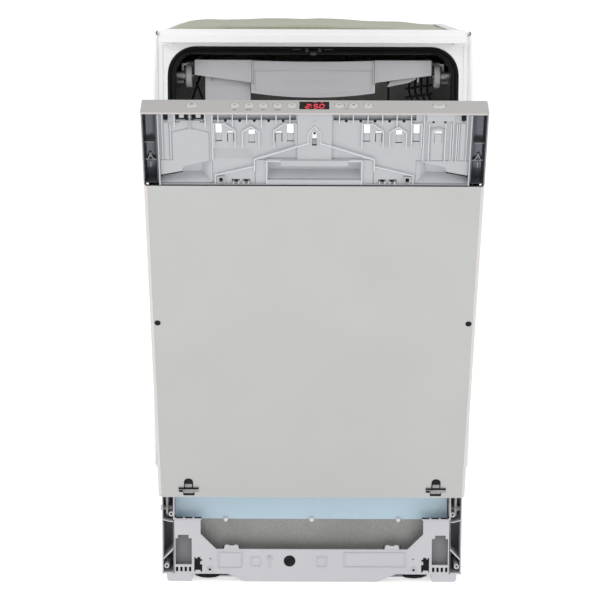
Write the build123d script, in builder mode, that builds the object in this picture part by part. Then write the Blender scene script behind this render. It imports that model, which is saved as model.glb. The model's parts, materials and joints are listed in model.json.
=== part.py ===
"""Slimline built-in dishwasher, 45 cm, with its door ajar.

Millimetres, +Z up, -Y to the front, origin on the floor under the middle of the cabinet.
The door's pieces are drawn on door_face, a plane through the hinge axis that leans with the door:
its X is the cabinet's X, its Y (called rise) runs up the door and its Z (called out) leaves the door.
"""
from build123d import *
from math import cos, radians, sin
import os

os.makedirs("parts", exist_ok=True)

# Cabinet
half_width = 224.0          # half of the 448 mm cabinet
cabinet_height = 815.0
cabinet_back = 275.0        # Y of the rear face
bar_front = -250.0          # Y of the top bar's face
flange_front = -226.0       # Y of the white frame round the tub's mouth
frame_half = 219.0
panel_foot = 132.0          # height at which the side panels leave the base

# Tub
tub_half = 199.0
tub_floor = 150.0
tub_top = 780.0
tub_front = -217.0
tub_back = 248.0
sheet = 1.2
mouth_radius = 32.0
flange_width = 10.0

# Door
door_lean = 24.6            # degrees from closed, as stored
hinge_y = -240.0
hinge_z = 110.0
skin_out = 35.0             # outer face in front of the hinge axis
liner_out = -12.0           # inner face behind it
panel_low, panel_high = 49.5, 576.0
console_low, console_high = 577.0, 673.0
fascia_top = 684.5
fascia_half = 223.5
pin_radius = 4.0
running = 0.05              # radial clearance of a running fit

# Base
base_front_y = -252.0
base_wall = 3.0
skirt_high = 12.0           # lower edge of the front above the floor
base_high = 97.0
column_high = 132.0
column_in, column_out = 206.0, 223.0
foot_x, foot_y, rear_foot_y = 154.0, -215.0, 225.0
foot_radius, stem_radius = 18.5, 6.0
spindle_x, spindle_z = -32.0, 32.0
plate_y = -229.5            # face of the plate behind the plinth recess

# Racks
rack_back = 165.0
wheel_radius = 16.0
roller_y = -185.0
tray_front, tray_half = -205.0, 172.0
tray_roller_z, tray_roller_radius = 746.0, 17.0
upper_front, upper_floor, upper_rim = -195.0, 502.0, 690.0
upper_roller_z, upper_roller_radius = 591.7, 14.0
lower_front, lower_floor, lower_rim = -190.0, 217.0, 398.0
ledge_top = 179.0
wire = 1.75                 # radius of the rack wire
stud_radius = 4.0

# Machine compartment
sump_y, sump_radius = 20.0, 56.0
salt_x, salt_y, salt_radius = -140.0, -95.0, 25.0

lean = radians(door_lean)
hinge_point = (0, hinge_y, hinge_z)
door_up = (0, -sin(lean), cos(lean))
door_out = (0, -cos(lean), -sin(lean))
door_face = Plane(origin=hinge_point, x_dir=(1, 0, 0), z_dir=door_out)
door_section = Plane(origin=hinge_point, x_dir=(1, 0, 0), z_dir=door_up)   # local Y is minus out


def middle(span):
    return (span[0] + span[1]) / 2


def length(span):
    return span[1] - span[0]


def block(x, y, z, mode=Mode.ADD):
    """Box between the (low, high) spans x, y and z."""
    with Locations((middle(x), middle(y), middle(z))):
        Box(length(x), length(y), length(z), mode=mode)


def blocks(x, y, z, mode=Mode.ADD):
    """The same box on the right and, mirrored, on the left."""
    block(x, y, z, mode)
    block((-x[1], -x[0]), y, z, mode)


def door_block(x, rise, out, mode=Mode.ADD):
    """Box on the leaning door between the spans x, rise and out."""
    with Locations(door_face.location * Location((middle(x), middle(rise), middle(out)))):
        Box(length(x), length(rise), length(out), mode=mode)


def door_blocks(x, rise, out, mode=Mode.ADD):
    door_block(x, rise, out, mode)
    door_block((-x[1], -x[0]), rise, out, mode)


def rod(start, end, radius, mode=Mode.ADD):
    """Round bar between two points on a line along one axis."""
    turns = ((0, 90, 0), (90, 0, 0), (0, 0, 0))
    spans = [abs(end[i] - start[i]) for i in range(3)]
    axis = spans.index(max(spans))
    centre = tuple((start[i] + end[i]) / 2 for i in range(3))
    with Locations(Location(centre, turns[axis])):
        Cylinder(radius, spans[axis], mode=mode)


def door_rod(x, rise, out, radius, mode=Mode.ADD):
    """Round bar square to the door's face, over the span out."""
    with Locations(door_face.location * Location((x, rise, middle(out)))):
        Cylinder(radius, length(out), mode=mode)


def mouth(half, low, high, upper_radius, lower_radius):
    """Rounded outline of the tub, drawn looking along Y."""
    with BuildSketch() as outline:
        with Locations((0, middle((low, high)))):
            Rectangle(2 * half, high - low)
        corners = outline.vertices().group_by(Axis.Y)
        fillet(corners[-1], upper_radius)
        fillet(outline.vertices().group_by(Axis.Y)[0], lower_radius)
    return outline.sketch


def tunnel(outline, y, mode=Mode.ADD):
    """Run an outline drawn in X and Z from y[0] back to y[1]."""
    front = Plane(origin=(0, y[0], 0), x_dir=(1, 0, 0), z_dir=(0, -1, 0))
    extrude(front * outline, amount=-length(y), mode=mode)


def walls(piece, planes):
    """Part a hollow piece along planes, so that each wall is a solid of its own that touches its neighbours."""
    solids = list(piece.solids())
    for plane in planes:
        parted = []
        for solid in solids:
            for half in solid.split(plane, keep=Keep.BOTH):
                pieces = half if isinstance(half, list) else [half]
                parted += [part for part in pieces if part is not None]
        solids = parted
    return Compound(children=solids)


def save(piece, name):
    piece.label = name
    export_step(piece, f"parts/{name}.step")


# ---------------------------------------------------------------- base

with BuildPart() as base_front:
    wall = (base_front_y, base_front_y + base_wall)
    block((-column_out, column_out), wall, (skirt_high, base_high))
    recess = [(-166, base_high), (-166, 73), (-143, 50), (143, 50), (166, 73), (166, base_high)]
    with BuildSketch(Plane(origin=(0, wall[0], 0), x_dir=(1, 0, 0), z_dir=(0, -1, 0))):
        Polygon(*recess, align=None)
    extrude(amount=-base_wall, mode=Mode.SUBTRACT)
    skirt = [(-98, 0), (98, 0), (126, skirt_high), (-126, skirt_high)]
    with BuildSketch(Plane(origin=(0, wall[0], 0), x_dir=(1, 0, 0), z_dir=(0, -1, 0))):
        Polygon(*skirt, align=None)
    extrude(amount=-base_wall)
    blocks((180, 217), wall, (0, skirt_high))
    # side bays that the hinge arms swing in
    bay = (column_in + 2.5, column_out - 2)
    bay_back = -200.0
    blocks((column_in, column_out), (base_front_y, bay_back), (skirt_high, column_high))
    blocks(bay, (base_front_y, bay_back - base_wall), (skirt_high + base_wall, column_high), Mode.SUBTRACT)
    # pockets, vents and cut-outs beside the bays
    blocks((178, column_in), (base_front_y, base_front_y + 16), (24, 67))
    blocks((180.5, column_in - 1), (base_front_y, base_front_y + 14), (26, 65), Mode.SUBTRACT)
    for slot in range(4):
        left = 181 + 6.2 * slot
        blocks((left, left + 4.2), wall, (15.4, 22.5), Mode.SUBTRACT)
    blocks((166, 177), wall, (15, 38), Mode.SUBTRACT)
    blocks((166, 170), wall, (24, 30))
    # ledge that carries the recess plate
    block((-176, 176), (base_front_y, plate_y - 0.2), (base_high - 4, base_high - 1))
    block((-172.5, 172.5), (base_front_y - 1, plate_y), (base_high - 4, base_high - 1), Mode.SUBTRACT)
    rod((spindle_x, wall[0] - 1, spindle_z), (spindle_x, wall[1] + 1, spindle_z), 9, Mode.SUBTRACT)
    for side in (-1, 1):
        rod((side * 205, hinge_y, hinge_z), (side * 224, hinge_y, hinge_z), pin_radius + 0.03, Mode.SUBTRACT)
save(base_front.part, "base_front")

with BuildPart() as base_pan:
    pan_front = base_front_y + base_wall + 0.2
    pan_half = 220.0
    pan_low = (0, base_wall)
    block((-pan_half, pan_half), (-199.5, cabinet_back), pan_low)
    block((-175, 175), (pan_front, -199.5), pan_low)
    blocks((pan_half - base_wall, pan_half), (-199.5, cabinet_back), (0, panel_foot - 0.5))
    block((-pan_half, pan_half), (cabinet_back - base_wall, cabinet_back), (0, panel_foot - 0.5))
    cup = 24.0
    for x, y in ((-foot_x, foot_y), (foot_x, foot_y), (0, rear_foot_y)):
        front = pan_front if y < 0 else y - cup
        block((x - cup - 3, x + cup + 3), (max(front - 3, pan_front), y + cup + 3), (0, 14))
        block((x - cup, x + cup), (front, y + cup), (0, 10), Mode.SUBTRACT)
        rod((x, y, 13), (x, y, 74), 10.5)
        rod((x, y, 0), (x, y, 75), stem_radius + running, Mode.SUBTRACT)
    # bearing of the rear foot's spindle
    block((-46, -18), (188, 201), (2, 46))
    rod((spindle_x, 187, spindle_z), (spindle_x, 198, spindle_z), 5 + running, Mode.SUBTRACT)
pan_seams = [Plane.XY.offset(base_wall), Plane.XY.offset(14), Plane.XZ.offset(-(cabinet_back - base_wall))]
save(walls(base_pan.part, pan_seams), "base_pan")

for name, x, y in (("front_foot_left", -foot_x, foot_y), ("front_foot_right", foot_x, foot_y),
                   ("rear_foot", 0, rear_foot_y)):
    with BuildPart() as foot:
        rod((x, y, 0), (x, y, 8.5), foot_radius)
        fillet(foot.edges().filter_by(GeomType.CIRCLE).group_by(Axis.Z)[-1], 1.5)
        rod((x, y, 8.5), (x, y, 88), stem_radius)
    save(foot.part, name)

with BuildPart() as rear_foot_spindle:
    rod((spindle_x, base_front_y + 0.5, spindle_z), (spindle_x, base_front_y + 8, spindle_z), 8.5)
    rod((spindle_x, base_front_y + 8, spindle_z), (spindle_x, 197, spindle_z), 5)
    block((spindle_x - 6, spindle_x + 6), (base_front_y, base_front_y + 2), (31, 33), Mode.SUBTRACT)
save(rear_foot_spindle.part, "rear_foot_spindle")

with BuildPart() as recess_plate:
    with BuildSketch(Plane(origin=(0, plate_y, 0), x_dir=(1, 0, 0), z_dir=(0, -1, 0))):
        plate = [(-172, 92), (-172, 66), (-148, 42), (148, 42), (172, 66), (172, 92)]
        Polygon(*plate, align=None)
    extrude(amount=-sheet)
    block((-124, 124), (plate_y, plate_y + 12), (42 - sheet, 42))
save(recess_plate.part, "recess_plate")

with BuildPart() as kick_apron:
    apron_y = plate_y - 1.7     # hangs in front of the plate, clear of the closed door's lower edge
    block((-203, 203), (apron_y, apron_y + 1), (base_high + 0.5, 135))
    block((-168, 168), (apron_y, apron_y + 1), (90.5, base_high + 0.5))
save(kick_apron.part, "kick_apron")

# ---------------------------------------------------------------- cabinet

with BuildPart() as tub:
    rim = mouth(tub_half + flange_width, tub_floor - flange_width, tub_top + flange_width, 40, 14)
    shell = mouth(tub_half + sheet, tub_floor - sheet, tub_top + sheet, mouth_radius + sheet, 12 + sheet)
    hollow = mouth(tub_half, tub_floor, tub_top, mouth_radius, 12)
    tunnel(rim, (tub_front, tub_front + sheet))
    tunnel(shell, (tub_front, tub_back + sheet))
    tunnel(hollow, (tub_front - 1, tub_back), Mode.SUBTRACT)
    rod((0, sump_y, tub_floor - 3), (0, sump_y, tub_floor + 1), sump_radius + 1.5, Mode.SUBTRACT)
    rod((salt_x, salt_y, tub_floor - 3), (salt_x, salt_y, tub_floor + 1), salt_radius + 1, Mode.SUBTRACT)
corner = tub_half - mouth_radius
tub_seams = [Plane.XZ.offset(-(tub_front + sheet)), Plane.XZ.offset(-tub_back),
             Plane.XY.offset(tub_floor), Plane.XY.offset(tub_floor + 12), Plane.XY.offset(tub_top - mouth_radius),
             Plane.YZ.offset(-corner), Plane.YZ.offset(corner)]
save(walls(tub.part, tub_seams), "tub")

with BuildPart() as front_frame:
    block((-frame_half, frame_half), (flange_front, tub_front - 0.2), (panel_foot + 0.5, 796))
    opening = mouth(tub_half + flange_width + 0.4, panel_foot - 20, tub_top + flange_width + 0.4, 40.4, 2)
    tunnel(opening, (flange_front - 1, tub_front + 1), Mode.SUBTRACT)
    block((-212, 212), (flange_front, tub_front - 0.2), (panel_foot + 0.5, tub_floor - flange_width - 0.4))
    blocks((frame_half - 2, frame_half), (tub_front - 0.2, -190), (panel_foot + 0.5, 796))
    block((-frame_half, frame_half), (tub_front - 0.2, -190), (793.5, 796))
    # gussets that carry the bar at the corners
    blocks((200, frame_half), (-238, flange_front), (792.8, 796))
    blocks((frame_half - 2, frame_half), (-238, flange_front), (795, 811))
save(front_frame.part, "front_frame")

with BuildPart() as top_bar:
    bar_half = 217.0
    block((-bar_half, bar_half), (bar_front, bar_front + 2.5), (796.3, 808.5))
    block((-bar_half, bar_half), (bar_front + 1.2, bar_front + 3.7), (808.5, cabinet_height))
    bar_back = -222.0
    block((-bar_half, bar_half), (bar_front + 1.2, bar_back), (cabinet_height - 2.5, cabinet_height))
    block((-198, 198), (bar_front + 2.5, flange_front - 0.2), (796.3, 798.3))
    blocks((bar_half - 2, bar_half), (bar_front + 2.5, bar_back), (811.5, cabinet_height))
    for x in (-190, 190):
        rod((x, -236, 811), (x, -236, 816), 2.5, Mode.SUBTRACT)
save(top_bar.part, "top_bar")

with BuildPart() as top_mat:
    mat_front, mat_back = -186.0, 262.0
    with BuildSketch(Plane(origin=(0, mat_front, 0), x_dir=(1, 0, 0), z_dir=(0, -1, 0))):
        with BuildLine():
            Line((-205, 812), (-205, 800))
            Line((-205, 800), (-185, 782.5))
            Line((-185, 782.5), (185, 782.5))
            Line((185, 782.5), (205, 800))
            Line((205, 800), (205, 812))
            ThreePointArc((205, 812), (0, 824), (-205, 812))
        make_face()
    extrude(amount=mat_front - mat_back)
save(top_mat.part, "top_mat")

with BuildPart() as side_panels:
    blocks((frame_half + 0.3, frame_half + 1.5), (flange_front, cabinet_back - 2), (panel_foot, 811))
save(side_panels.part, "side_panels")

with BuildPart() as rear_panel:
    block((-frame_half, frame_half), (cabinet_back - 3.2, cabinet_back - 2), (panel_foot, 811))
    for row in range(9):
        block((-60, 60), (cabinet_back - 4, cabinet_back), (200 + 12 * row, 205 + 12 * row), Mode.SUBTRACT)
save(rear_panel.part, "rear_panel")

with BuildPart() as edge_strips:
    # flexible lips: narrow at the top, wider towards the floor
    lip_top, lip_low = 811.0, 174.0
    for side in (-1, 1):
        tip = {lip_low: 234.0, 730.0: 231.0, lip_top: 226.4}
        heights = sorted(tip)
        for low, high in zip(heights, heights[1:]):
            sections = []
            for z in (low, high):
                with BuildSketch(Plane.XY.offset(z)) as section:
                    root, end = side * 220.8, side * tip[z]
                    Polygon((root, -200), (root, -226.8), (end, -229), (end, -227.8),
                            (root + side * 1.2, -225.4), (root + side * 1.2, -200), align=None)
                sections.append(section.sketch)
            loft(sections, ruled=True)
save(edge_strips.part, "edge_strips")

with BuildPart() as door_gasket:
    outside = mouth(tub_half + 9.6, 158, tub_top + 9.6, 39.6, 2)
    inside = mouth(tub_half - 1, 100, tub_top - 1, 31, 2)
    tunnel(outside, (-227.5, tub_front - 0.2))
    tunnel(inside, (-230, tub_front + 1), Mode.SUBTRACT)
save(door_gasket.part, "door_gasket")

with BuildPart() as latch_striker:
    block((-14, 14), (flange_front - 1.2, flange_front - 0.05), (791, 795.5))
    block((-8, 8), (flange_front - 5, flange_front - 0.05), (791, 795.5))
    block((-8, 8), (flange_front - 5, flange_front - 2), (781.5, 791))
    block((-6, 6), (-243, flange_front - 4), (781.5, 784.5))
save(latch_striker.part, "latch_striker")

# ---------------------------------------------------------------- machine compartment

with BuildPart() as hinge_pins:
    for side in (-1, 1):
        rod((side * 206, hinge_y, hinge_z), (side * 223, hinge_y, hinge_z), pin_radius)
save(hinge_pins.part, "hinge_pins")

with BuildPart() as door_springs:
    for side in (-1, 1):
        for turn in range(30):
            y = -150 + 6 * turn
            rod((side * 204, y, 60), (side * 204, y + 4.6, 60), 8)
        rod((side * 204, -160, 60), (side * 204, 40, 60), 2.5)
save(door_springs.part, "door_springs")

with BuildPart() as sump:
    rod((0, sump_y, 62), (0, sump_y, tub_floor - sheet), sump_radius)
    rod((0, sump_y, 66), (0, sump_y, tub_floor), 46, Mode.SUBTRACT)
    rod((0, sump_y, tub_floor + 0.1), (0, sump_y, tub_floor + 2.6), sump_radius + 8)
    rod((0, sump_y, tub_floor - 2), (0, sump_y, tub_floor + 3), sump_radius - 4)
    rod((0, sump_y, tub_floor - 40), (0, sump_y, tub_floor + 4), 46, Mode.SUBTRACT)
    rod((0, sump_y, 66), (0, sump_y, tub_floor + 18), 6)
save(sump.part, "sump")

with BuildPart() as filter_set:
    # fine filter plate and coarse cup, lifted out together after a quarter turn
    rod((0, sump_y, tub_floor - 38), (0, sump_y, tub_floor + 1), 45)
    rod((0, sump_y, tub_floor - 36), (0, sump_y, tub_floor + 2), 43.5, Mode.SUBTRACT)
    rod((0, sump_y, tub_floor - 1.5), (0, sump_y, tub_floor + 1), 45)
    with Locations((0, sump_y)):
        with PolarLocations(26, 6):
            Cylinder(8, 2 * tub_floor + 20, mode=Mode.SUBTRACT)
    rod((0, sump_y, 60), (0, sump_y, 200), 6.3, Mode.SUBTRACT)
save(filter_set.part, "filter_set")

with BuildPart() as circulation_pump:
    rod((57, sump_y, 95), (78, sump_y, 95), 14)
    rod((78, sump_y, 95), (110, sump_y, 95), 42)
    rod((110, sump_y, 95), (190, sump_y, 95), 34)
save(circulation_pump.part, "circulation_pump")

with BuildPart() as drain_pump:
    rod((-57, sump_y + 10, 84), (-72, sump_y + 10, 84), 12)
    rod((-72, sump_y + 10, 84), (-96, sump_y + 10, 84), 26)
    block((-150, -96), (sump_y - 10, sump_y + 30), (64, 104))
save(drain_pump.part, "drain_pump")

with BuildPart() as water_softener:
    block((-192, -88), (-150, -40), (42, 136))
    rod((salt_x, salt_y, 136), (salt_x, salt_y, tub_floor + 4), salt_radius)
    rod((salt_x, salt_y, 60), (salt_x, salt_y, tub_floor + 5), salt_radius - 3, Mode.SUBTRACT)
save(water_softener.part, "water_softener")

with BuildPart() as salt_cap:
    rod((salt_x, salt_y, tub_floor + 4.3), (salt_x, salt_y, tub_floor + 12), salt_radius + 2)
    rod((salt_x, salt_y, tub_floor - 8), (salt_x, salt_y, tub_floor + 4.3), salt_radius - 3.1)
    block((salt_x - 20, salt_x + 20), (salt_y - 3, salt_y + 3), (tub_floor + 12, tub_floor + 17))
save(salt_cap.part, "salt_cap")

with BuildPart() as rear_fittings:
    # mains inlet socket, water inlet valve and drain spigot on a bracket inside the back
    block((-190, -60), (262, 268), (60, 120))
    rod((-165, 258, 92), (-165, 262, 92), 22)
    rod((-165, 268, 92), (-165, cabinet_back - 4, 92), 16)
    rod((-100, 268, 92), (-100, cabinet_back - 4, 92), 12)
    block((60, 110), (250, cabinet_back - 4), (70, 110))
save(rear_fittings.part, "rear_fittings")

with BuildPart() as basket_rails:
    for z, inner, front in ((ledge_top, 184, -214), (605.5, 186, -160)):
        blocks((inner, tub_half), (front, tub_back - 6), (z - 3, z))
        blocks((tub_half - 3, tub_half), (front, tub_back - 6), (z - 12, z - 3))
    # the tray's rail stands off the wall below the rounded top corner
    blocks((176, 193), (-160, tub_back - 6), (760, 763))
    blocks((190, 193), (-160, tub_back - 6), (734, 760))
    blocks((193, tub_half), (-160, tub_back - 6), (734, 738))
    for side in (-1, 1):
        for z, inner in ((tray_roller_z, 174.5), (upper_roller_z, 184.5)):
            rod((side * inner, roller_y, z), (side * (tub_half - 0.3), roller_y, z), stud_radius)
            rod((side * (inner + 12.5), roller_y, z), (side * (tub_half - 0.5), roller_y, z), 7)
save(basket_rails.part, "basket_rails")

for name, z, radius, inner in (("tray_rollers", tray_roller_z, tray_roller_radius, 176.5),
                               ("upper_rollers", upper_roller_z, upper_roller_radius, 186.5)):
    with BuildPart() as rollers:
        for side in (-1, 1):
            rod((side * inner, roller_y, z), (side * (inner + 8.7), roller_y, z), radius)
            rod((side * (inner - 1), roller_y, z), (side * (inner + 10), roller_y, z), stud_radius + running,
                Mode.SUBTRACT)
    save(rollers.part, name)

# ---------------------------------------------------------------- racks


def wires_y(xs, z, y, radius=wire):
    """Wires running front to back at each x."""
    with Locations([Location((x, middle(y), z), (90, 0, 0)) for x in xs]):
        Cylinder(radius, length(y))


def wires_x(ys, z, half, radius=wire):
    """Wires running across at each y."""
    with Locations([Location((0, y, z), (0, 90, 0)) for y in ys]):
        Cylinder(radius, 2 * half)


def wires_z(points, z, radius=wire):
    """Upright wires at each (x, y)."""
    with Locations([Location((x, y, middle(z))) for x, y in points]):
        Cylinder(radius, length(z))


def spread(low, high, count):
    return [low + (high - low) * i / (count - 1) for i in range(count)]


def rack(front, floor, rim, half, long_wires, cross_wires):
    """Wire rack with an open top: floor grid, uprights on four sides and two rims."""
    step = 2 * wire + 0.1
    y = (front, rack_back)
    wires_y(spread(-half + 14, half - 14, long_wires), floor, (front + 2 * step, rack_back - 2 * step))
    cross = spread(front + 22, rack_back - 22, cross_wires)
    wires_x(cross, floor - step, half - 2 * step)
    side = [(sign * (half - step), y_cross) for sign in (-1, 1) for y_cross in cross]
    wires_z(side, (floor - 2, rim))
    ends = [(x, y_end) for x in spread(-half + 26, half - 26, 8)
            for y_end in (front + step, rack_back - step)]
    wires_z(ends, (floor - 2, rim))
    for height in (middle((floor, rim)), rim - wire):
        wires_y((-half, half), height, y)
        wires_x((front, rack_back), height, half - step)


with BuildPart() as lower_basket:
    lower_half = 178.0
    rack(lower_front, lower_floor, lower_rim, lower_half, 13, 6)
    for y in (-150, 120):
        blocks((lower_half + wire + 0.1, lower_half + 6), (y - 9, y + 9), (188, 312))
        for side in (-1, 1):
            rod((side * (lower_half + 6), y, ledge_top + wheel_radius + 0.2),
                (side * 197, y, ledge_top + wheel_radius + 0.2), 3)
    block((-60, 60), (lower_front - 6, lower_front - wire - 0.1), (350, 380))
save(lower_basket.part, "lower_basket")

for name, y in (("lower_front_wheels", -150), ("lower_rear_wheels", 120)):
    with BuildPart() as wheels:
        for side in (-1, 1):
            z = ledge_top + wheel_radius + 0.2
            rod((side * 186, y, z), (side * 196, y, z), wheel_radius)
            rod((side * 184, y, z), (side * 198, y, z), 3 + running, Mode.SUBTRACT)
    save(wheels.part, name)

with BuildPart() as upper_basket:
    upper_half = 176.0
    rack(upper_front, upper_floor, upper_rim, upper_half, 11, 6)
    blocks((186.5, 190.5), (upper_front, rack_back), (606, 611))
    for y in (upper_front + 20, 0, rack_back - 20):
        blocks((upper_half + wire + 0.1, 190.5), (y - 6, y + 6), (611, 622))
    rod((0, -12, upper_floor - 16), (0, -12, upper_floor - 5.6), 14)
    block((-10, 10), (-12, rack_back), (upper_floor - 15, upper_floor - 6))
    block((-60, 60), (upper_front - 6, upper_front - wire - 0.1), (640, 668))
save(upper_basket.part, "upper_basket")

with BuildPart() as cutlery_tray:
    centre_half = 90.0
    tray_top = 769.5
    face = (tray_front, tray_front + 3)
    block((-tray_half, tray_half), (tray_front + 3, rack_back), (740, 742))
    blocks((tray_half - 2, tray_half), (tray_front + 3, rack_back), (740, tray_top))
    blocks((tray_half - 1, 187), (tray_front + 3, rack_back), (763.3, 765.3))
    block((-tray_half, tray_half), (rack_back - 2, rack_back), (740, tray_top))
    with BuildSketch(Plane(origin=(0, face[0], 0), x_dir=(1, 0, 0), z_dir=(0, -1, 0))):
        with BuildLine():
            Polyline((-centre_half, 722), (-centre_half, 737), (-tray_half, 748), (-tray_half, tray_top),
                     (tray_half, tray_top), (tray_half, 748), (centre_half, 737), (centre_half, 722))
            ThreePointArc((centre_half, 722), (0, 715.5), (-centre_half, 722))
        make_face()
    extrude(amount=-length(face))
    for x in (-58, 58):
        block((x - 1.5, x + 1.5), (tray_front + 3, rack_back - 2), (742, 758))
save(cutlery_tray.part, "cutlery_tray")

with BuildPart() as lower_spray_arm:
    hub_z = tub_floor + 24
    rod((0, sump_y, hub_z - 5), (0, sump_y, hub_z + 8), 18)
    block((-165, 165), (sump_y - 15, sump_y + 15), (hub_z, hub_z + 8))
    rod((0, sump_y, hub_z - 6), (0, sump_y, hub_z - 0.3), 6.3, Mode.SUBTRACT)
save(lower_spray_arm.part, "lower_spray_arm")

with BuildPart() as upper_spray_arm:
    hub_z = upper_floor - 28
    rod((0, -12, hub_z), (0, -12, hub_z + 11.7), 16)
    block((-158, 158), (-26, 2), (hub_z, hub_z + 8))
save(upper_spray_arm.part, "upper_spray_arm")

# ---------------------------------------------------------------- door

with BuildPart() as door_panel:
    with BuildSketch(door_section.offset(panel_low)):
        Polygon((-223, -6), (-223, -31), (-218, -skin_out), (218, -skin_out), (223, -31), (223, -6),
                (221.8, -6), (221.8, -30.4), (217.5, -33.8), (-217.5, -33.8), (-221.8, -30.4), (-221.8, -6),
                align=None)
    extrude(amount=panel_high - panel_low)
    door_block((-221, 221), (panel_low, panel_low + sheet), (12, 33.9))
    for x in (-213, 213):
        door_rod(x, 358, (30, 36), 4.2, Mode.SUBTRACT)
save(door_panel.part, "door_panel")

with BuildPart() as door_liner:
    liner_low, liner_high = 28.0, 682.2
    door_block((-219, 219), (liner_low, liner_high), (liner_out, 5.5))
    door_block((sheet - 219, 219 - sheet), (liner_low + sheet, liner_high - sheet), (liner_out + sheet, 8),
               Mode.SUBTRACT)
    door_blocks((211, 216), (liner_low - 1, liner_low + 2), (-9, 8), Mode.SUBTRACT)
    door_block((-71, 91), (234, 356), (liner_out - 1, liner_out + 2), Mode.SUBTRACT)
    door_block((-10, 10), (664, liner_high + 1), (liner_out - 1, liner_out + 4), Mode.SUBTRACT)
across = Plane(origin=hinge_point, x_dir=door_up, z_dir=(1, 0, 0))
liner_seams = [door_face.offset(liner_out + sheet), across.offset(sheet - 219), across.offset(219 - sheet)]
liner_seams += [across.offset(x) for x in (-71, -10, 10, 91)]
liner_seams += [door_section.offset(rise) for rise in (234, 356, 664)]
save(walls(door_liner.part, liner_seams), "door_liner")

with BuildPart() as hinge_arms:
    for side in (-1, 1):
        inner, outer = sorted((side * 212, side * 215))
        door_block((inner, outer), (0, 210), (-8, 6))
        rod((inner, hinge_y, hinge_z), (outer, hinge_y, hinge_z), 11.5)
        rod((side * 211, hinge_y, hinge_z), (side * 216, hinge_y, hinge_z), pin_radius + running, Mode.SUBTRACT)
save(hinge_arms.part, "hinge_arms")

with BuildPart() as side_plugs:
    for x in (-213, 213):
        door_rod(x, 358, (28, 35.4), 4.0)
save(side_plugs.part, "side_plugs")

with BuildPart() as panel_brackets:
    for x in (-180, 180):
        door_block((x - 14, x + 14), (52, 68), (skin_out + 0.05, skin_out + 1.4))
        door_rod(x, 80, (skin_out + 0.05, skin_out + 2.2), 6)
        door_block((x - 4, x + 4), (68, 80), (skin_out + 0.05, skin_out + 1.4))
        door_rod(x, 60, (skin_out - 1, skin_out + 3), 2.25, Mode.SUBTRACT)
save(panel_brackets.part, "panel_brackets")

with BuildPart() as side_channels:
    for side in (-1, 1):
        inner, outer = sorted((side * 203.2, side * fascia_half))
        door_block((inner, outer), (console_low, 681.5), (6.5, 30))
        inner, outer = sorted((side * 204.4, side * (fascia_half - sheet)))
        door_block((inner, outer), (console_low - 1, 683), (7.7, 31), Mode.SUBTRACT)
save(side_channels.part, "side_channels")

with BuildPart() as console:
    console_half = 202.6
    spine = 7.5                 # out position of the moulding's back wall
    lip = 30.0
    door_block((-console_half, console_half), (console_low, console_high), (spine, spine + 2))
    door_block((-console_half, console_half), (console_high - 2, console_high), (spine, lip - 2))
    door_blocks((console_half - 2, console_half), (console_low, console_high), (spine, lip))
    for x in (62, 78, 132, 148, 188):
        door_blocks((x, x + 2), (console_low, 640), (spine, lip - 2))
    for number in range(7):
        door_blocks((24 + 18.5 * number, 25.6 + 18.5 * number), (640, console_high), (spine, lip - 4))
    door_blocks((22, 152), (638, 640), (spine, lip - 3))
    door_blocks((62, 202), (console_low, console_low + 2), (spine, lip - 1))
    door_block((-60, 60), (605.5, 615), (spine, lip - 2))
    door_block((-60, 60), (console_low, console_low + 3), (spine, lip - 1))
    door_blocks((138, 184), (611, 655), (spine, lip - 2))
    door_blocks((140, 182), (613, 653), (spine + 2, lip - 4), Mode.SUBTRACT)
console_seams = [door_face.offset(spine + 2), door_section.offset(console_high - 2), door_section.offset(640)]
console_seams += [across.offset(x) for x in (-60, 60, 2 - console_half, console_half - 2)]
save(walls(console.part, console_seams), "console")

button_out = 13.6
program_x = [-102.7, -84.7, -66.3, -47.6, -29.2]
buttons = {"power_button": (-158.2, 7.8), "start_button": (160.5, 9.0), "minus_button": (31.7, 6.6),
           "plus_button": (50.3, 6.6), "delay_button": (69.1, 6.6)}
for number, x in enumerate(program_x, 1):
    buttons[f"program_button_{number}"] = (x, 6.6)
window_x, window_out = (-19.5, 18.5), (4.0, 24.5)


def oval(x, half, grow=0.0):
    """Outline of one button on the door's top face."""
    with Locations((x, -button_out)):
        Ellipse(half + grow, 7.2 + grow)


with BuildPart() as fascia:
    door_block((-fascia_half, fascia_half), (fascia_top - 2, fascia_top), (0, skin_out))
    chamfer(fascia.edges().group_by(Axis.X)[0].group_by(Axis.Z)[-1], 0.6)
    with BuildSketch(door_section.offset(fascia_top - 3)):
        for x, half in buttons.values():
            oval(x, half, 0.25)
        with Locations((middle(window_x), -middle(window_out))):
            RectangleRounded(length(window_x) + 0.4, length(window_out) + 0.4, 1.5)
    extrude(amount=4, mode=Mode.SUBTRACT)
save(fascia.part, "fascia")

with BuildPart() as display_window:
    with BuildSketch(door_section.offset(fascia_top - 2)):
        with Locations((middle(window_x), -middle(window_out))):
            RectangleRounded(length(window_x), length(window_out), 1.4)
    extrude(amount=1.8)
save(display_window.part, "display_window")

for name, (x, half) in buttons.items():
    with BuildPart() as button:
        with BuildSketch(door_section.offset(fascia_top - 8)):
            oval(x, half)
        extrude(amount=8.8)
        fillet(button.faces().sort_by(Axis((0, 0, 0), door_up))[-1].edges(), 0.5)
    save(button.part, name)

with BuildPart() as control_board:
    door_block((30, 185), (600, 662), (-6, -4.4))
    for number in range(6):
        x = 40 + 23 * number
        door_block((x, x + 14), (610, 630), (-4.4, 2))
save(control_board.part, "control_board")

with BuildPart() as door_lock:
    door_block((-24, 24), (636, 674), (liner_out + sheet + 0.2, 6))
    door_block((-9, 9), (664, 675), (liner_out, 5), Mode.SUBTRACT)
save(door_lock.part, "door_lock")

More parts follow.
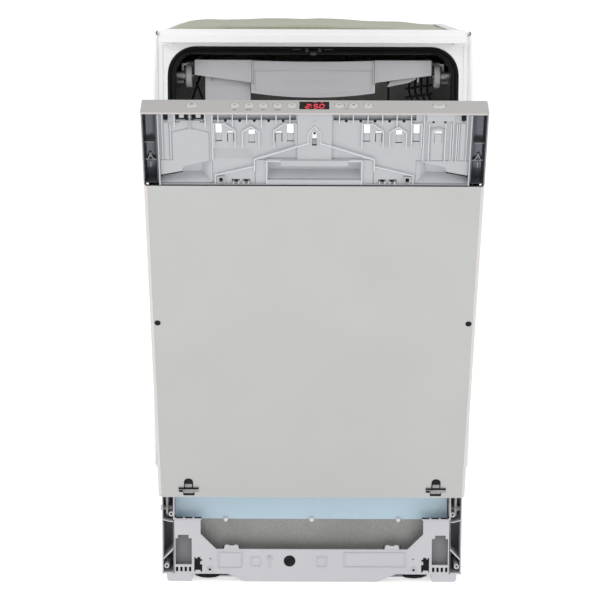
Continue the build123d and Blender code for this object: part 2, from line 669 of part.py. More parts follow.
with BuildPart() as dispenser_body:
    door_block((-70, 90), (235, 355), (-12.8, 14))
    door_block((-60, 0), (250, 330), (-14, 10), Mode.SUBTRACT)
    door_rod(55, 300, (-14, 8), 12, Mode.SUBTRACT)
save(dispenser_body.part, "dispenser_body")

with BuildPart() as dispenser_lid:
    door_block((-63, 3), (247, 333), (-15.2, -13.1))
    door_block((-40, -20), (250, 254), (-17, -15.2))
save(dispenser_lid.part, "dispenser_lid")

with BuildPart() as rinse_aid_cap:
    door_rod(55, 300, (-15.5, -13.1), 16)
    door_rod(55, 300, (-13.1, -2), 11.9)
    door_block((52.5, 57.5), (286, 314), (-18.5, -15.5))
save(rinse_aid_cap.part, "rinse_aid_cap")
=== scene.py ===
import json
import math
import bmesh
import bpy
from mathutils import Matrix, Vector
from mathutils.geometry import tessellate_polygon

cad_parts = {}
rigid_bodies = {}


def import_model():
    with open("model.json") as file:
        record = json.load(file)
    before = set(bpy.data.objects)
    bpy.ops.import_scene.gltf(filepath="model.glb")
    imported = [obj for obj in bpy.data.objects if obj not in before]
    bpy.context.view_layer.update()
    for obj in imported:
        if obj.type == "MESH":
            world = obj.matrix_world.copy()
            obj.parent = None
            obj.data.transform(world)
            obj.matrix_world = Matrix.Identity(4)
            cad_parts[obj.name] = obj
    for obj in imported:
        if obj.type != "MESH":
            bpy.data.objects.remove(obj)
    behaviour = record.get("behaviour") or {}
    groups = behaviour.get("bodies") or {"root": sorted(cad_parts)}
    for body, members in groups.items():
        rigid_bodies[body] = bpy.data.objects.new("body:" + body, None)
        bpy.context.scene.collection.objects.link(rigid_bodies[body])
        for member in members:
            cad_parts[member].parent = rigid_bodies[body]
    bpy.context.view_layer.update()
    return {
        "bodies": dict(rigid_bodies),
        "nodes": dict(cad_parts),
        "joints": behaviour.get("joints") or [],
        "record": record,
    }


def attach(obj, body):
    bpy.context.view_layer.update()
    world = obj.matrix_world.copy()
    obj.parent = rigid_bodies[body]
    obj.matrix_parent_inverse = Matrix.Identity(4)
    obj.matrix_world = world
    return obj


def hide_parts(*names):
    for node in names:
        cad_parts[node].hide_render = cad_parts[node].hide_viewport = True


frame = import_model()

nodes = frame["nodes"]
joints = {joint["name"]: joint for joint in frame["joints"]}
millimetre = 0.001

# The door leans about its hinge: door pieces are drawn in (x, rise, out) and turned into place.
hinge = joints["door_hinge"]
doorLean = math.radians(-hinge["range_deg"][0])
doorUp = Vector((0, -math.sin(doorLean), math.cos(doorLean)))
doorOut = Vector((0, -math.cos(doorLean), -math.sin(doorLean)))
doorPlace = Matrix.Translation(hinge["pos_m"]) @ Matrix((
    (1, 0, 0, 0), (0, doorUp.y, doorOut.y, 0), (0, doorUp.z, doorOut.z, 0), (0, 0, 0, 1)))
doorPlace = doorPlace @ Matrix.Scale(millimetre, 4)
cabinetPlace = Matrix.Scale(millimetre, 4)


# camera and light

studio = {"cameraPlace": (-0.0195, -3.073, 0.892), "pitch": 9.39, "roll": -0.2, "lens": 117.96, "sensor": 36,
          "aim": (0, -0.3, 0.45), "domeLight": 0.6, "floorTone": 0.9, "floorGlow": 0.55, "floorHalf": 240,
          "floorDrop": 0.0005}
lamps = {"keyLight": {"place": (-1.9, -2.6, 2.3), "power": 26, "size": 2.2},
         "fillLight": {"place": (2.2, -2.4, 1.2), "power": 13, "size": 2.4},
         "topLight": {"place": (0.2, -0.6, 3.2), "power": 16, "size": 2.6}}


def show(thing):
    bpy.context.scene.collection.objects.link(thing)
    return thing


def buildCamera():
    camera = show(bpy.data.objects.new("studioCamera", bpy.data.cameras.new("studioCamera")))
    camera.location = studio["cameraPlace"]
    camera.rotation_euler = (math.radians(90 - studio["pitch"]), math.radians(studio["roll"]), 0)
    camera.data.lens = studio["lens"]
    camera.data.sensor_width = studio["sensor"]
    bpy.context.scene.camera = camera
    bpy.context.scene.view_settings.view_transform = "Standard"


def buildDome():
    # soft dome for the light, plain white behind the object
    world = bpy.data.worlds.new("studioWorld")
    bpy.context.scene.world = world
    world.use_nodes = True
    tree = world.node_tree
    tree.nodes.clear()
    output = tree.nodes.new("ShaderNodeOutputWorld")
    choose = tree.nodes.new("ShaderNodeMixShader")
    path = tree.nodes.new("ShaderNodeLightPath")
    tree.links.new(path.outputs["Is Camera Ray"], choose.inputs[0])
    for index, strength in enumerate((studio["domeLight"], 1)):
        glow = tree.nodes.new("ShaderNodeBackground")
        glow.inputs["Color"].default_value = (1, 1, 1, 1)
        glow.inputs["Strength"].default_value = strength
        tree.links.new(glow.outputs[0], choose.inputs[index + 1])
    tree.links.new(choose.outputs[0], output.inputs["Surface"])


def buildLamps():
    for name, values in lamps.items():
        data = bpy.data.lights.new(name, "AREA")
        data.energy = values["power"]
        data.size = values["size"]
        lamp = show(bpy.data.objects.new(name, data))
        lamp.location = values["place"]
        toAim = Vector(studio["aim"]) - Vector(values["place"])
        lamp.rotation_euler = toAim.to_track_quat("-Z", "Y").to_euler()


def buildFloor():
    sheet = bmesh.new()
    bmesh.ops.create_grid(sheet, x_segments=4, y_segments=4, size=studio["floorHalf"])
    mesh = bpy.data.meshes.new("studioFloor")
    sheet.to_mesh(mesh)
    sheet.free()
    mesh.transform(Matrix.Translation((0, 0, -studio["floorDrop"])))
    floor = show(bpy.data.objects.new("studioFloor", mesh))
    material = bpy.data.materials.new("floorPaint")
    material.use_nodes = True
    shader = material.node_tree.nodes["Principled BSDF"]
    tone = studio["floorTone"]
    shader.inputs["Base Color"].default_value = (tone, tone, tone, 1)
    shader.inputs["Roughness"].default_value = 0.9
    shader.inputs["Specular IOR Level"].default_value = 0.1
    shader.inputs["Emission Color"].default_value = (1, 1, 1, 1)
    shader.inputs["Emission Strength"].default_value = studio["floorGlow"]
    mesh.materials.append(material)


# shader groups: each puts out a height, a roughness between two limits, and a slow cloudiness

def newSurface(name, inputs):
    group = bpy.data.node_groups.new(name, "ShaderNodeTree")
    for label, kind, value in inputs + [("Smooth", "NodeSocketFloat", 0.35), ("Rough", "NodeSocketFloat", 0.55)]:
        socket = group.interface.new_socket(label, in_out="INPUT", socket_type=kind)
        socket.default_value = value
    for label in ("Height", "Roughness", "Cloud"):
        group.interface.new_socket(label, in_out="OUTPUT", socket_type="NodeSocketFloat")
    start = group.nodes.new("NodeGroupInput")
    return group, start, group.nodes.new("ShaderNodeTexCoord").outputs["Object"]


def closeSurface(group, start, height, driver, cloud, low, high):
    # roughness goes from Smooth to Rough while the driver goes from low to high
    spread = group.nodes.new("ShaderNodeMapRange")
    spread.inputs["From Min"].default_value = low
    spread.inputs["From Max"].default_value = high
    group.links.new(driver, spread.inputs["Value"])
    group.links.new(start.outputs["Smooth"], spread.inputs["To Min"])
    group.links.new(start.outputs["Rough"], spread.inputs["To Max"])
    end = group.nodes.new("NodeGroupOutput")
    for label, value in (("Height", height), ("Roughness", spread.outputs[0]), ("Cloud", cloud)):
        group.links.new(value, end.inputs[label])
    return group


def addTexture(group, kind, place, detail=None, scale=None):
    # scale is a socket of the group, or a number
    texture = group.nodes.new(kind)
    group.links.new(place, texture.inputs["Vector"])
    if detail is not None:
        texture.inputs["Detail"].default_value = detail
    if isinstance(scale, (int, float)):
        texture.inputs["Scale"].default_value = scale
    else:
        group.links.new(scale, texture.inputs["Scale"])
    return texture


def addMath(group, kind, *values):
    node = group.nodes.new("ShaderNodeMath")
    node.operation = kind
    for index, value in enumerate(values):
        if isinstance(value, (int, float)):
            node.inputs[index].default_value = value
        else:
            group.links.new(value, node.inputs[index])
    return node.outputs[0]


def grainGroup():
    # fine grain for mouldings, paint and rubber, with a slow cloudiness for handling marks
    group, start, place = newSurface("surfaceGrain", [("Grain scale", "NodeSocketFloat", 900.0),
                                                      ("Cloud scale", "NodeSocketFloat", 9.0)])
    grain = addTexture(group, "ShaderNodeTexNoise", place, 2, start.outputs["Grain scale"]).outputs["Fac"]
    cloud = addTexture(group, "ShaderNodeTexNoise", place, 3, start.outputs["Cloud scale"]).outputs["Fac"]
    return closeSurface(group, start, grain, cloud, cloud, 0.3, 0.7)


def brushGroup():
    # long fine strokes along one direction, for rolled and brushed sheet
    group, start, place = newSurface("brushStrokes", [("Across", "NodeSocketVector", (4.0, 700.0, 700.0))])
    stretch = group.nodes.new("ShaderNodeVectorMath")
    stretch.operation = "MULTIPLY"
    group.links.new(place, stretch.inputs[0])
    group.links.new(start.outputs["Across"], stretch.inputs[1])
    stroke = addTexture(group, "ShaderNodeTexNoise", stretch.outputs[0], 3, 1).outputs["Fac"]
    cloud = addTexture(group, "ShaderNodeTexNoise", place, None, 5).outputs["Fac"]
    return closeSurface(group, start, stroke, stroke, cloud, 0.3, 0.7)


def speckGroup():
    # crystals of a galvanised sheet, or fibres of felt, as cells of two sizes
    group, start, place = newSurface("speckles", [("Speck scale", "NodeSocketFloat", 420.0),
                                                  ("Patch scale", "NodeSocketFloat", 60.0)])
    speck = addTexture(group, "ShaderNodeTexVoronoi", place, None, start.outputs["Speck scale"])
    patch = addTexture(group, "ShaderNodeTexNoise", place, 4, start.outputs["Patch scale"])
    tone = group.nodes.new("ShaderNodeRGBToBW")
    group.links.new(speck.outputs["Color"], tone.inputs[0])
    blotch = addMath(group, "MULTIPLY", patch.outputs["Fac"], 0.6)
    both = addMath(group, "MULTIPLY_ADD", tone.outputs[0], 0.55, blotch)
    return closeSurface(group, start, both, both, both, 0, 1)


# finishes, one for each material slot

groups = {"grain": grainGroup(), "brush": brushGroup(), "speck": speckGroup()}

# light and dark tone, metal, lowest and highest roughness, surface group, its sizes, bump in millimetres
finishes = {
    "door_skin": ((0.463, 0.468, 0.457), (0.438, 0.445, 0.434), 0.2, (0.44, 0.56), "grain", (1500, 9), 0.03),
    # painted highlight: lighter copy of door_skin for the strips over the door's bent edges
    "door_edge_highlight": ((0.62, 0.595, 0.575), (0.59, 0.565, 0.545), 0.15, (0.36, 0.48), "grain", (1500, 9), 0.01),
    "fascia_steel": ((0.51, 0.495, 0.485), (0.465, 0.45, 0.442), 0.25, (0.3, 0.42), "brush", (4, 900, 900), 0.012),
    "button_metal": ((0.6, 0.595, 0.575), (0.54, 0.54, 0.52), 0.2, (0.25, 0.4), "brush", (4, 900, 900), 0.01),
    "console_plastic": ((0.445, 0.452, 0.472), (0.405, 0.414, 0.434), 0, (0.4, 0.55), "grain", (1100, 12), 0.02),
    # painted highlight: lighter copy of console_plastic for the ribs and basins that catch the light
    "console_plastic_lit": ((0.61, 0.62, 0.645), (0.57, 0.58, 0.605), 0, (0.4, 0.55), "grain", (1100, 12), 0.02),
    "base_plastic": ((0.56, 0.555, 0.588), (0.52, 0.515, 0.548), 0, (0.45, 0.6), "grain", (900, 10), 0.03),
    "tray_plastic": ((0.6, 0.59, 0.615), (0.545, 0.54, 0.565), 0, (0.35, 0.5), "grain", (1000, 12), 0.02),
    "white_enamel": ((0.95, 0.95, 0.955), (0.92, 0.92, 0.925), 0, (0.28, 0.36), "grain", (500, 8), 0.01),
    "zinc_sheet": ((0.36, 0.358, 0.35), (0.25, 0.248, 0.242), 0.45, (0.38, 0.62), "speck", (620, 24), 0.02),
    "zinc_steel": ((0.34, 0.34, 0.335), (0.25, 0.25, 0.25), 0.6, (0.35, 0.55), "speck", (260, 40), 0.015),
    "tub_steel": ((0.3, 0.297, 0.29), (0.28, 0.278, 0.272), 1, (0.3, 0.34), "brush", (260, 260, 4), 0.0008),
    "polished_steel": ((0.6, 0.6, 0.6), (0.5, 0.5, 0.5), 0.95, (0.14, 0.24), "brush", (6, 500, 500), 0.006),
    "spring_steel": ((0.42, 0.42, 0.42), (0.3, 0.3, 0.31), 0.8, (0.3, 0.45), "brush", (300, 5, 300), 0.01),
    "filter_mesh": ((0.48, 0.48, 0.47), (0.36, 0.36, 0.35), 0.85, (0.25, 0.4), "grain", (700, 20), 0.02),
    "rail_steel": ((0.5, 0.5, 0.49), (0.4, 0.4, 0.4), 0.85, (0.22, 0.35), "brush", (300, 5, 300), 0.01),
    "rack_wire": ((0.36, 0.365, 0.38), (0.31, 0.315, 0.33), 0, (0.3, 0.42), "grain", (900, 20), 0.02),
    "pump_plastic": ((0.05, 0.05, 0.055), (0.03, 0.03, 0.034), 0, (0.4, 0.55), "grain", (900, 15), 0.03),
    "board": ((0.03, 0.16, 0.07), (0.02, 0.11, 0.05), 0, (0.35, 0.5), "grain", (400, 60), 0.01),
    "dispenser_plastic": ((0.42, 0.43, 0.45), (0.37, 0.38, 0.4), 0, (0.3, 0.45), "grain", (900, 12), 0.02),
    "display_black": ((0.006, 0.006, 0.007), (0.003, 0.003, 0.004), 0, (0.3, 0.4), "grain", (200, 5), 0.001),
    "seal_rubber": ((0.009, 0.0095, 0.011), (0.006, 0.0065, 0.0075), 0, (0.3, 0.42), "grain", (800, 15), 0.03),
    "lip_rubber": ((0.95, 0.945, 0.955), (0.92, 0.915, 0.93), 0, (0.4, 0.55), "grain", (800, 15), 0.02),
    "lock_plastic": ((0.07, 0.07, 0.075), (0.05, 0.05, 0.052), 0, (0.35, 0.5), "grain", (900, 15), 0.02),
    "foot_plastic": ((0.02, 0.021, 0.023), (0.011, 0.012, 0.013), 0, (0.4, 0.55), "grain", (900, 15), 0.03),
    "apron_film": ((0.52, 0.66, 0.75), (0.45, 0.59, 0.69), 0, (0.18, 0.32), "grain", (300, 12), 0.02),
    "wheel_plastic": ((0.5, 0.505, 0.52), (0.44, 0.445, 0.46), 0, (0.32, 0.48), "grain", (900, 15), 0.02),
    "spray_plastic": ((0.4, 0.41, 0.43), (0.34, 0.35, 0.37), 0, (0.32, 0.48), "grain", (900, 15), 0.02),
    "black_screw": ((0.018, 0.018, 0.02), (0.01, 0.01, 0.011), 0.3, (0.3, 0.45), "grain", (900, 20), 0.01),
    "cap_blue": ((0.05, 0.22, 0.46), (0.04, 0.17, 0.38), 0, (0.3, 0.45), "grain", (900, 15), 0.02),
    "plug_black": ((0.012, 0.012, 0.014), (0.008, 0.008, 0.009), 0, (0.35, 0.5), "grain", (900, 15), 0.02),
    "white_plastic": ((0.8, 0.8, 0.8), (0.74, 0.74, 0.75), 0, (0.3, 0.45), "grain", (900, 15), 0.02),
    # painted shade: darker grey for the insides of pockets and bays
    "recess_shade_grey": ((0.26, 0.258, 0.27), (0.2, 0.199, 0.208), 0, (0.45, 0.6), "grain", (900, 18), 0.02),
    # painted light: lighter copy of zinc_steel so the cabinet sides and back don't read as shaded
    "side_steel_lit": ((0.66, 0.66, 0.66), (0.58, 0.58, 0.58), 0.45, (0.38, 0.55), "speck", (260, 40), 0.01),
    "felt": ((0.47, 0.48, 0.37), (0.3, 0.315, 0.22), 0, (0.85, 0.98), "speck", (520, 70), 0.25)}
groupSizes = {"grain": ("Grain scale", "Cloud scale"), "speck": ("Speck scale", "Patch scale")}


def makeFinish(name, light, dark, metal, rough, kind, sizes, bump):
    material = bpy.data.materials.new(name)
    material.use_nodes = True
    tree = material.node_tree
    shader = tree.nodes["Principled BSDF"]
    surface = tree.nodes.new("ShaderNodeGroup")
    surface.node_tree = groups[kind]
    surface.inputs["Smooth"].default_value, surface.inputs["Rough"].default_value = rough
    if kind == "brush":
        surface.inputs["Across"].default_value = sizes
    else:
        for label, size in zip(groupSizes[kind], sizes):
            surface.inputs[label].default_value = size
    tone = tree.nodes.new("ShaderNodeMix")
    tone.data_type = "RGBA"
    tone.inputs[6].default_value = (*light, 1)
    tone.inputs[7].default_value = (*dark, 1)
    tree.links.new(surface.outputs["Cloud"], tone.inputs[0])
    tree.links.new(tone.outputs[2], shader.inputs["Base Color"])
    tree.links.new(surface.outputs["Roughness"], shader.inputs["Roughness"])
    relief = tree.nodes.new("ShaderNodeBump")
    relief.inputs["Strength"].default_value = 0.6
    relief.inputs["Distance"].default_value = bump * millimetre
    tree.links.new(surface.outputs["Height"], relief.inputs["Height"])
    tree.links.new(relief.outputs["Normal"], shader.inputs["Normal"])
    shader.inputs["Metallic"].default_value = metal
    return material


def makeGlow(name, tone, glow, strength):
    # a lamp segment, or a white tongue given a painted glow for the light seen through its window
    material = makeFinish(name, tone, tone, 0, (0.3, 0.4), "grain", (900, 15), 0.01)
    shader = material.node_tree.nodes["Principled BSDF"]
    shader.inputs["Emission Color"].default_value = (*glow, 1)
    shader.inputs["Emission Strength"].default_value = strength
    return material


materials = {name: makeFinish(name, *values) for name, values in finishes.items()}
for name in ("display_black", "black_screw", "plug_black", "foot_plastic", "lock_plastic", "seal_rubber"):
    materials[name].node_tree.nodes["Principled BSDF"].inputs["Specular IOR Level"].default_value = 0.12
materials["felt"].node_tree.nodes["Principled BSDF"].inputs["Sheen Weight"].default_value = 0.3
# painted light: the tongues behind the console windows glow though they are no lamp
materials["lit_window"] = makeGlow("lit_window", (0.85, 0.85, 0.83), (1, 0.99, 0.97), 0.45)
materials["lit_segment"] = makeGlow("lit_segment", (0.5, 0.02, 0.03), (1, 0.03, 0.06), 0.75)
materials["channel_shade"] = makeFinish("channel_shade", (0.215, 0.225, 0.26), (0.035, 0.037, 0.05), 0.55,
                                        (0.16, 0.3), "brush", (14, 14, 22), 0.004)
nodeSlot = {part["node"]: part["material_slot"] for part in frame["record"]["subparts"]}
for nodeName, node in nodes.items():
    node.data.materials.clear()
    node.data.materials.append(materials[nodeSlot[nodeName]])
print("finishes made:", len(materials))


# shaping, in millimetres: a part is closed and rounded by itself, then joins its piece

views = {"face": lambda u, v, w: (u, v, w), "front": lambda u, v, w: (u, w, v),
         "side": lambda u, v, w: (w, u, v), "plan": lambda u, v, w: (u, v, w)}


def joinPart(piece, part, round=0.0, tone=0):
    bmesh.ops.recalc_face_normals(part, faces=part.faces)
    if round:
        edges = [edge for edge in part.edges if edge.is_manifold and edge.calc_face_angle() > 0.6]
        bmesh.ops.bevel(part, geom=edges, offset=round, segments=2, profile=0.5, affect="EDGES",
                        clamp_overlap=True)
    for face in part.faces:
        face.material_index = tone
    mesh = bpy.data.meshes.new("part")
    part.to_mesh(mesh)
    part.free()
    piece.from_mesh(mesh)
    bpy.data.meshes.remove(mesh)


def addLoft(piece, rings, round=0.0, tone=0):
    # skins matching rings of points and closes both ends
    part = bmesh.new()
    loops = [[part.verts.new(point) for point in ring] for ring in rings]
    for first, second in zip(loops, loops[1:]):
        for index in range(len(first)):
            after = (index + 1) % len(first)
            part.faces.new((first[index], first[after], second[after], second[index]))
    part.faces.new(loops[0])
    part.faces.new(loops[-1])
    joinPart(piece, part, round, tone)


def addPrism(piece, outline, depth, holes=(), view="face", round=0.0, tone=0):
    place = views[view]
    if not holes:
        addLoft(piece, [[place(u, v, w) for u, v in outline] for w in depth], round=round, tone=tone)
        return
    part = bmesh.new()
    loops = [list(outline)] + [list(hole) for hole in holes]
    flat = [point for loop in loops for point in loop]
    near, far = ([part.verts.new(place(u, v, w)) for u, v in flat] for w in depth)
    for triangle in tessellate_polygon([[Vector((u, v, 0)) for u, v in loop] for loop in loops]):
        part.faces.new([near[index] for index in triangle])
        part.faces.new([far[index] for index in reversed(triangle)])
    first = 0
    for loop in loops:
        for index in range(len(loop)):
            one, two = first + index, first + (index + 1) % len(loop)
            part.faces.new((near[one], near[two], far[two], far[one]))
        first += len(loop)
    joinPart(piece, part, round, tone)


def rect(x, y):
    return [(x[0], y[0]), (x[1], y[0]), (x[1], y[1]), (x[0], y[1])]


def addBox(piece, x, y, z, round=0.0, tone=0):
    addPrism(piece, rect(x, y), z, round=round, tone=tone)


def circle(x, y, radius, sides=24, squash=1.0):
    return [(x + radius * math.cos(math.tau * index / sides),
             y + squash * radius * math.sin(math.tau * index / sides))
            for index in range(sides)]


def roundRect(x, y, radius, steps=6):
    corners = ((x[1] - radius, y[1] - radius, 0), (x[0] + radius, y[1] - radius, 90),
               (x[0] + radius, y[0] + radius, 180), (x[1] - radius, y[0] + radius, 270))
    return [(cx + radius * math.cos(math.radians(start + 90 * step / steps)),
             cy + radius * math.sin(math.radians(start + 90 * step / steps)))
            for cx, cy, start in corners for step in range(steps + 1)]


def strip(points, width):
    # outline of a wall of even width along an open line
    left, right = [], []
    for index, point in enumerate(points):
        here = Vector(point)
        before = (here - Vector(points[index - 1])).normalized() if index else None
        after = (Vector(points[index + 1]) - here).normalized() if index < len(points) - 1 else None
        along = ((before or after) + (after or before)).normalized()
        side = Vector((-along.y, along.x))
        reach = width / 2 / max(0.35, abs(side.dot(Vector((-(before or after).y, (before or after).x)))))
        left.append(tuple(here + side * reach))
        right.append(tuple(here - side * reach))
    return left + right[::-1]


def addWall(piece, points, width, depth, view="face", round=0.0, tone=0):
    addPrism(piece, strip(points, width), depth, view=view, round=round, tone=tone)


def addLathe(piece, profile, centre, view="face", sides=32, tone=0):
    # profile is (radius, height) pairs, from axis to axis or round a ring
    place = views[view]
    part = bmesh.new()
    loops = []
    for radius, height in profile:
        if radius == 0:
            loops.append([part.verts.new(place(centre[0], centre[1], height))])
        else:
            loops.append([part.verts.new(place(u, v, height)) for u, v in circle(*centre, radius, sides)])
    ring = profile[0][0] != 0
    for first, second in list(zip(loops, loops[1:])) + ([(loops[-1], loops[0])] if ring else []):
        for index in range(sides):
            after = (index + 1) % sides
            corners = [first[index % len(first)], first[after % len(first)],
                       second[after % len(second)], second[index % len(second)]]
            corners = list(dict.fromkeys(corners))
            if len(corners) > 2:
                part.faces.new(corners)
    joinPart(piece, part, 0.0, tone)


def addBasin(piece, rim, base, depth, wall=1.0, view="face", tone=0):
    # open tray: rim outline at depth[0], smaller base outline at depth[1], with an even wall
    place = views[view]
    deeper = depth[1] + (wall if depth[1] > depth[0] else -wall)

    def grow(outline):
        mid = [sum(point[axis] for point in outline) / len(outline) for axis in (0, 1)]
        return [(u + math.copysign(wall, u - mid[0]), v + math.copysign(wall, v - mid[1])) for u, v in outline]

    rings = [[place(u, v, depth[1]) for u, v in base], [place(u, v, depth[0]) for u, v in rim],
             [place(u, v, depth[0]) for u, v in grow(rim)], [place(u, v, deeper) for u, v in grow(base)]]
    addLoft(piece, rings, tone=tone)


def mirrored(points, side):
    return [(side * u, v) for u, v in points]


def across(side, near, far):
    # a stretch on the left (-1) or right (1) side of the middle, lower end first
    return tuple(sorted((side * near, side * far)))


def onCircle(centre, radius, angle):
    return centre[0] + radius * math.cos(angle), centre[1] + radius * math.sin(angle)


def finishPiece(piece, name, body, slots, place, replaced=()):
    mesh = bpy.data.meshes.new(name)
    bmesh.ops.transform(piece, matrix=place, verts=piece.verts)
    piece.to_mesh(mesh)
    piece.free()
    for slot in slots:
        mesh.materials.append(materials[slot])
    mesh.shade_smooth()
    mesh.set_sharp_from_angle(angle=math.radians(21))
    thing = show(bpy.data.objects.new(name, mesh))
    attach(thing, body)
    if replaced:
        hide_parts(*replaced)
    print("made", name, len(mesh.polygons), "faces")
    return thing


# geometry nodes: one small solid repeated at the points of a mesh, or a tube along its edges

def newTree(name, inputs):
    tree = bpy.data.node_groups.new(name, "GeometryNodeTree")
    tree.interface.new_socket("Geometry", in_out="INPUT", socket_type="NodeSocketGeometry")
    tree.interface.new_socket("Geometry", in_out="OUTPUT", socket_type="NodeSocketGeometry")
    for label, kind, value in inputs:
        socket = tree.interface.new_socket(label, in_out="INPUT", socket_type=kind)
        if value is not None:
            socket.default_value = value
    return tree, tree.nodes.new("NodeGroupInput"), tree.nodes.new("NodeGroupOutput")


def closeTree(tree, start, end, shape):
    realize = tree.nodes.new("GeometryNodeRealizeInstances")
    paint = tree.nodes.new("GeometryNodeSetMaterial")
    tree.links.new(shape, realize.inputs[0])
    tree.links.new(realize.outputs[0], paint.inputs["Geometry"])
    tree.links.new(start.outputs["Finish"], paint.inputs["Material"])
    tree.links.new(paint.outputs[0], end.inputs[0])


def repeatTree():
    tree, start, end = newTree("repeatAtPoints", [("Pattern", "NodeSocketObject", None),
                                                  ("Finish", "NodeSocketMaterial", None)])
    points = tree.nodes.new("GeometryNodeMeshToPoints")
    source = tree.nodes.new("GeometryNodeObjectInfo")
    copies = tree.nodes.new("GeometryNodeInstanceOnPoints")
    tree.links.new(start.outputs["Geometry"], points.inputs["Mesh"])
    tree.links.new(start.outputs["Pattern"], source.inputs["Object"])
    tree.links.new(points.outputs[0], copies.inputs["Points"])
    tree.links.new(source.outputs["Geometry"], copies.inputs["Instance"])
    closeTree(tree, start, end, copies.outputs[0])
    return tree


def wireTree():
    tree, start, end = newTree("wireAlongEdges", [("Wire radius", "NodeSocketFloat", 0.00175),
                                                  ("Sides", "NodeSocketInt", 8),
                                                  ("Finish", "NodeSocketMaterial", None)])
    curve = tree.nodes.new("GeometryNodeMeshToCurve")
    section = tree.nodes.new("GeometryNodeCurvePrimitiveCircle")
    tube = tree.nodes.new("GeometryNodeCurveToMesh")
    tree.links.new(start.outputs["Geometry"], curve.inputs["Mesh"])
    tree.links.new(start.outputs["Sides"], section.inputs["Resolution"])
    tree.links.new(start.outputs["Wire radius"], section.inputs["Radius"])
    tree.links.new(curve.outputs[0], tube.inputs["Curve"])
    tree.links.new(section.outputs[0], tube.inputs["Profile Curve"])
    tube.inputs["Fill Caps"].default_value = True
    closeTree(tree, start, end, tube.outputs[0])
    return tree


trees = {"repeat": repeatTree(), "wire": wireTree()}


def growPiece(tree, points, edges, values, name, body, slot, place):
    # runs a tree over points and edges and keeps the result as one plain mesh
    seed = bpy.data.meshes.new(name + "Seed")
    seed.from_pydata([place @ Vector(point) for point in points], edges, [])
    holder = show(bpy.data.objects.new(name + "Seed", seed))
    modifier = holder.modifiers.new("grow", "NODES")
    modifier.node_group = trees[tree]
    values = {**values, "Finish": materials[slot]}
    for item in trees[tree].interface.items_tree:
        if item.in_out == "INPUT" and item.name in values:
            modifier[item.identifier] = values[item.name]
    ready = holder.evaluated_get(bpy.context.evaluated_depsgraph_get())
    mesh = bpy.data.meshes.new_from_object(ready)
    mesh.name = name
    if not mesh.materials:
        mesh.materials.append(materials[slot])
    mesh.shade_smooth()
    mesh.set_sharp_from_angle(angle=math.radians(50))
    bpy.data.objects.remove(holder)
    thing = show(bpy.data.objects.new(name, mesh))
    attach(thing, body)
    print("grown", name, len(mesh.polygons), "faces")
    return thing


def repeatPiece(shape, places, name, body, slot, place):
    # the small solid is turned as its piece is turned but kept at the origin
    mesh = bpy.data.meshes.new(name + "Pattern")
    turn = place.to_3x3().to_4x4()
    bmesh.ops.transform(shape, matrix=turn, verts=shape.verts)
    shape.to_mesh(mesh)
    shape.free()
    pattern = bpy.data.objects.new(name + "Pattern", mesh)
    return growPiece("repeat", places, [], {"Pattern": pattern}, name, body, slot, place)


def wirePiece(runs, radius, sides, name, body, slot, place):
    # each run is an open line of points, and becomes one wire
    points, edges = [], []
    for run in runs:
        edges += [(len(points) + index, len(points) + index + 1) for index in range(len(run) - 1)]
        points += run
    return growPiece("wire", points, edges, {"Wire radius": radius, "Sides": sides}, name, body, slot, place)


# console moulding behind the fascia

# x, rise and out are in the door's own frame
console = {"half": 202.6, "low": 577, "high": 680.5, "field": 29, "front": 33.2, "lip": 34.5, "back": 9,
           "wall": 1.4, "edge": 0.3}


# openings (left, right, foot, top), spring slots (left, right) and rib outlines on each side of the middle
fixingWindows = {-1: [(-127.4, -119.9, 640, 664.9), (-84.9, -77.4, 638, 656.6), (-35.2, -27.2, 640, 664.6)],
                 1: [(63.7, 71.2, 640, 664.9), (105.2, 112.7, 638, 656.6), (127.6, 135, 640, 664.9)]}
# each rib's x and foot
bandRibs = ((124.1, 666.9), (105.7, 662.6), (87.2, 666.9), (68.4, 662.6), (49.6, 666.9), (31.7, 666.9))
bandHoles = {"x": (114.7, 96.2, 77.6, 59.1, 40.5), "rise": 669.9, "radius": 1.9}
ridges = {"first": -128.5, "pitch": 2.4, "count": 21, "foot": 614.7, "long": 14, "wide": 0.7, "proud": 0.35}
clipSlots = {-1: [(-112.8, -103.6), (-51.3, -41.6)], 1: [(78.3, 87.5)]}
windowFrames = {
    -1: [[(-129.9, 632.2), (-129.9, 666.9), (-116.3, 666.9), (-102.5, 656.6), (-102.5, 632.2)],
         [(-93, 632.2), (-93, 654.9), (-82.2, 662.6), (-71.7, 654.9), (-71.7, 632.2)],
         [(-23.7, 632.2), (-23.7, 666.9), (-38.6, 666.9), (-52.5, 656.6), (-52.5, 632.2)]],
    1: [[(61.2, 632.2), (61.2, 666.9), (74.8, 666.9), (88.6, 656.6), (88.6, 632.2)],
        [(97, 632.2), (97, 654.9), (107.9, 662.6), (118.5, 654.9), (118.5, 632.2)],
        [(124.9, 632.2), (124.9, 667), (138.2, 667), (138.2, 632.2)]]}


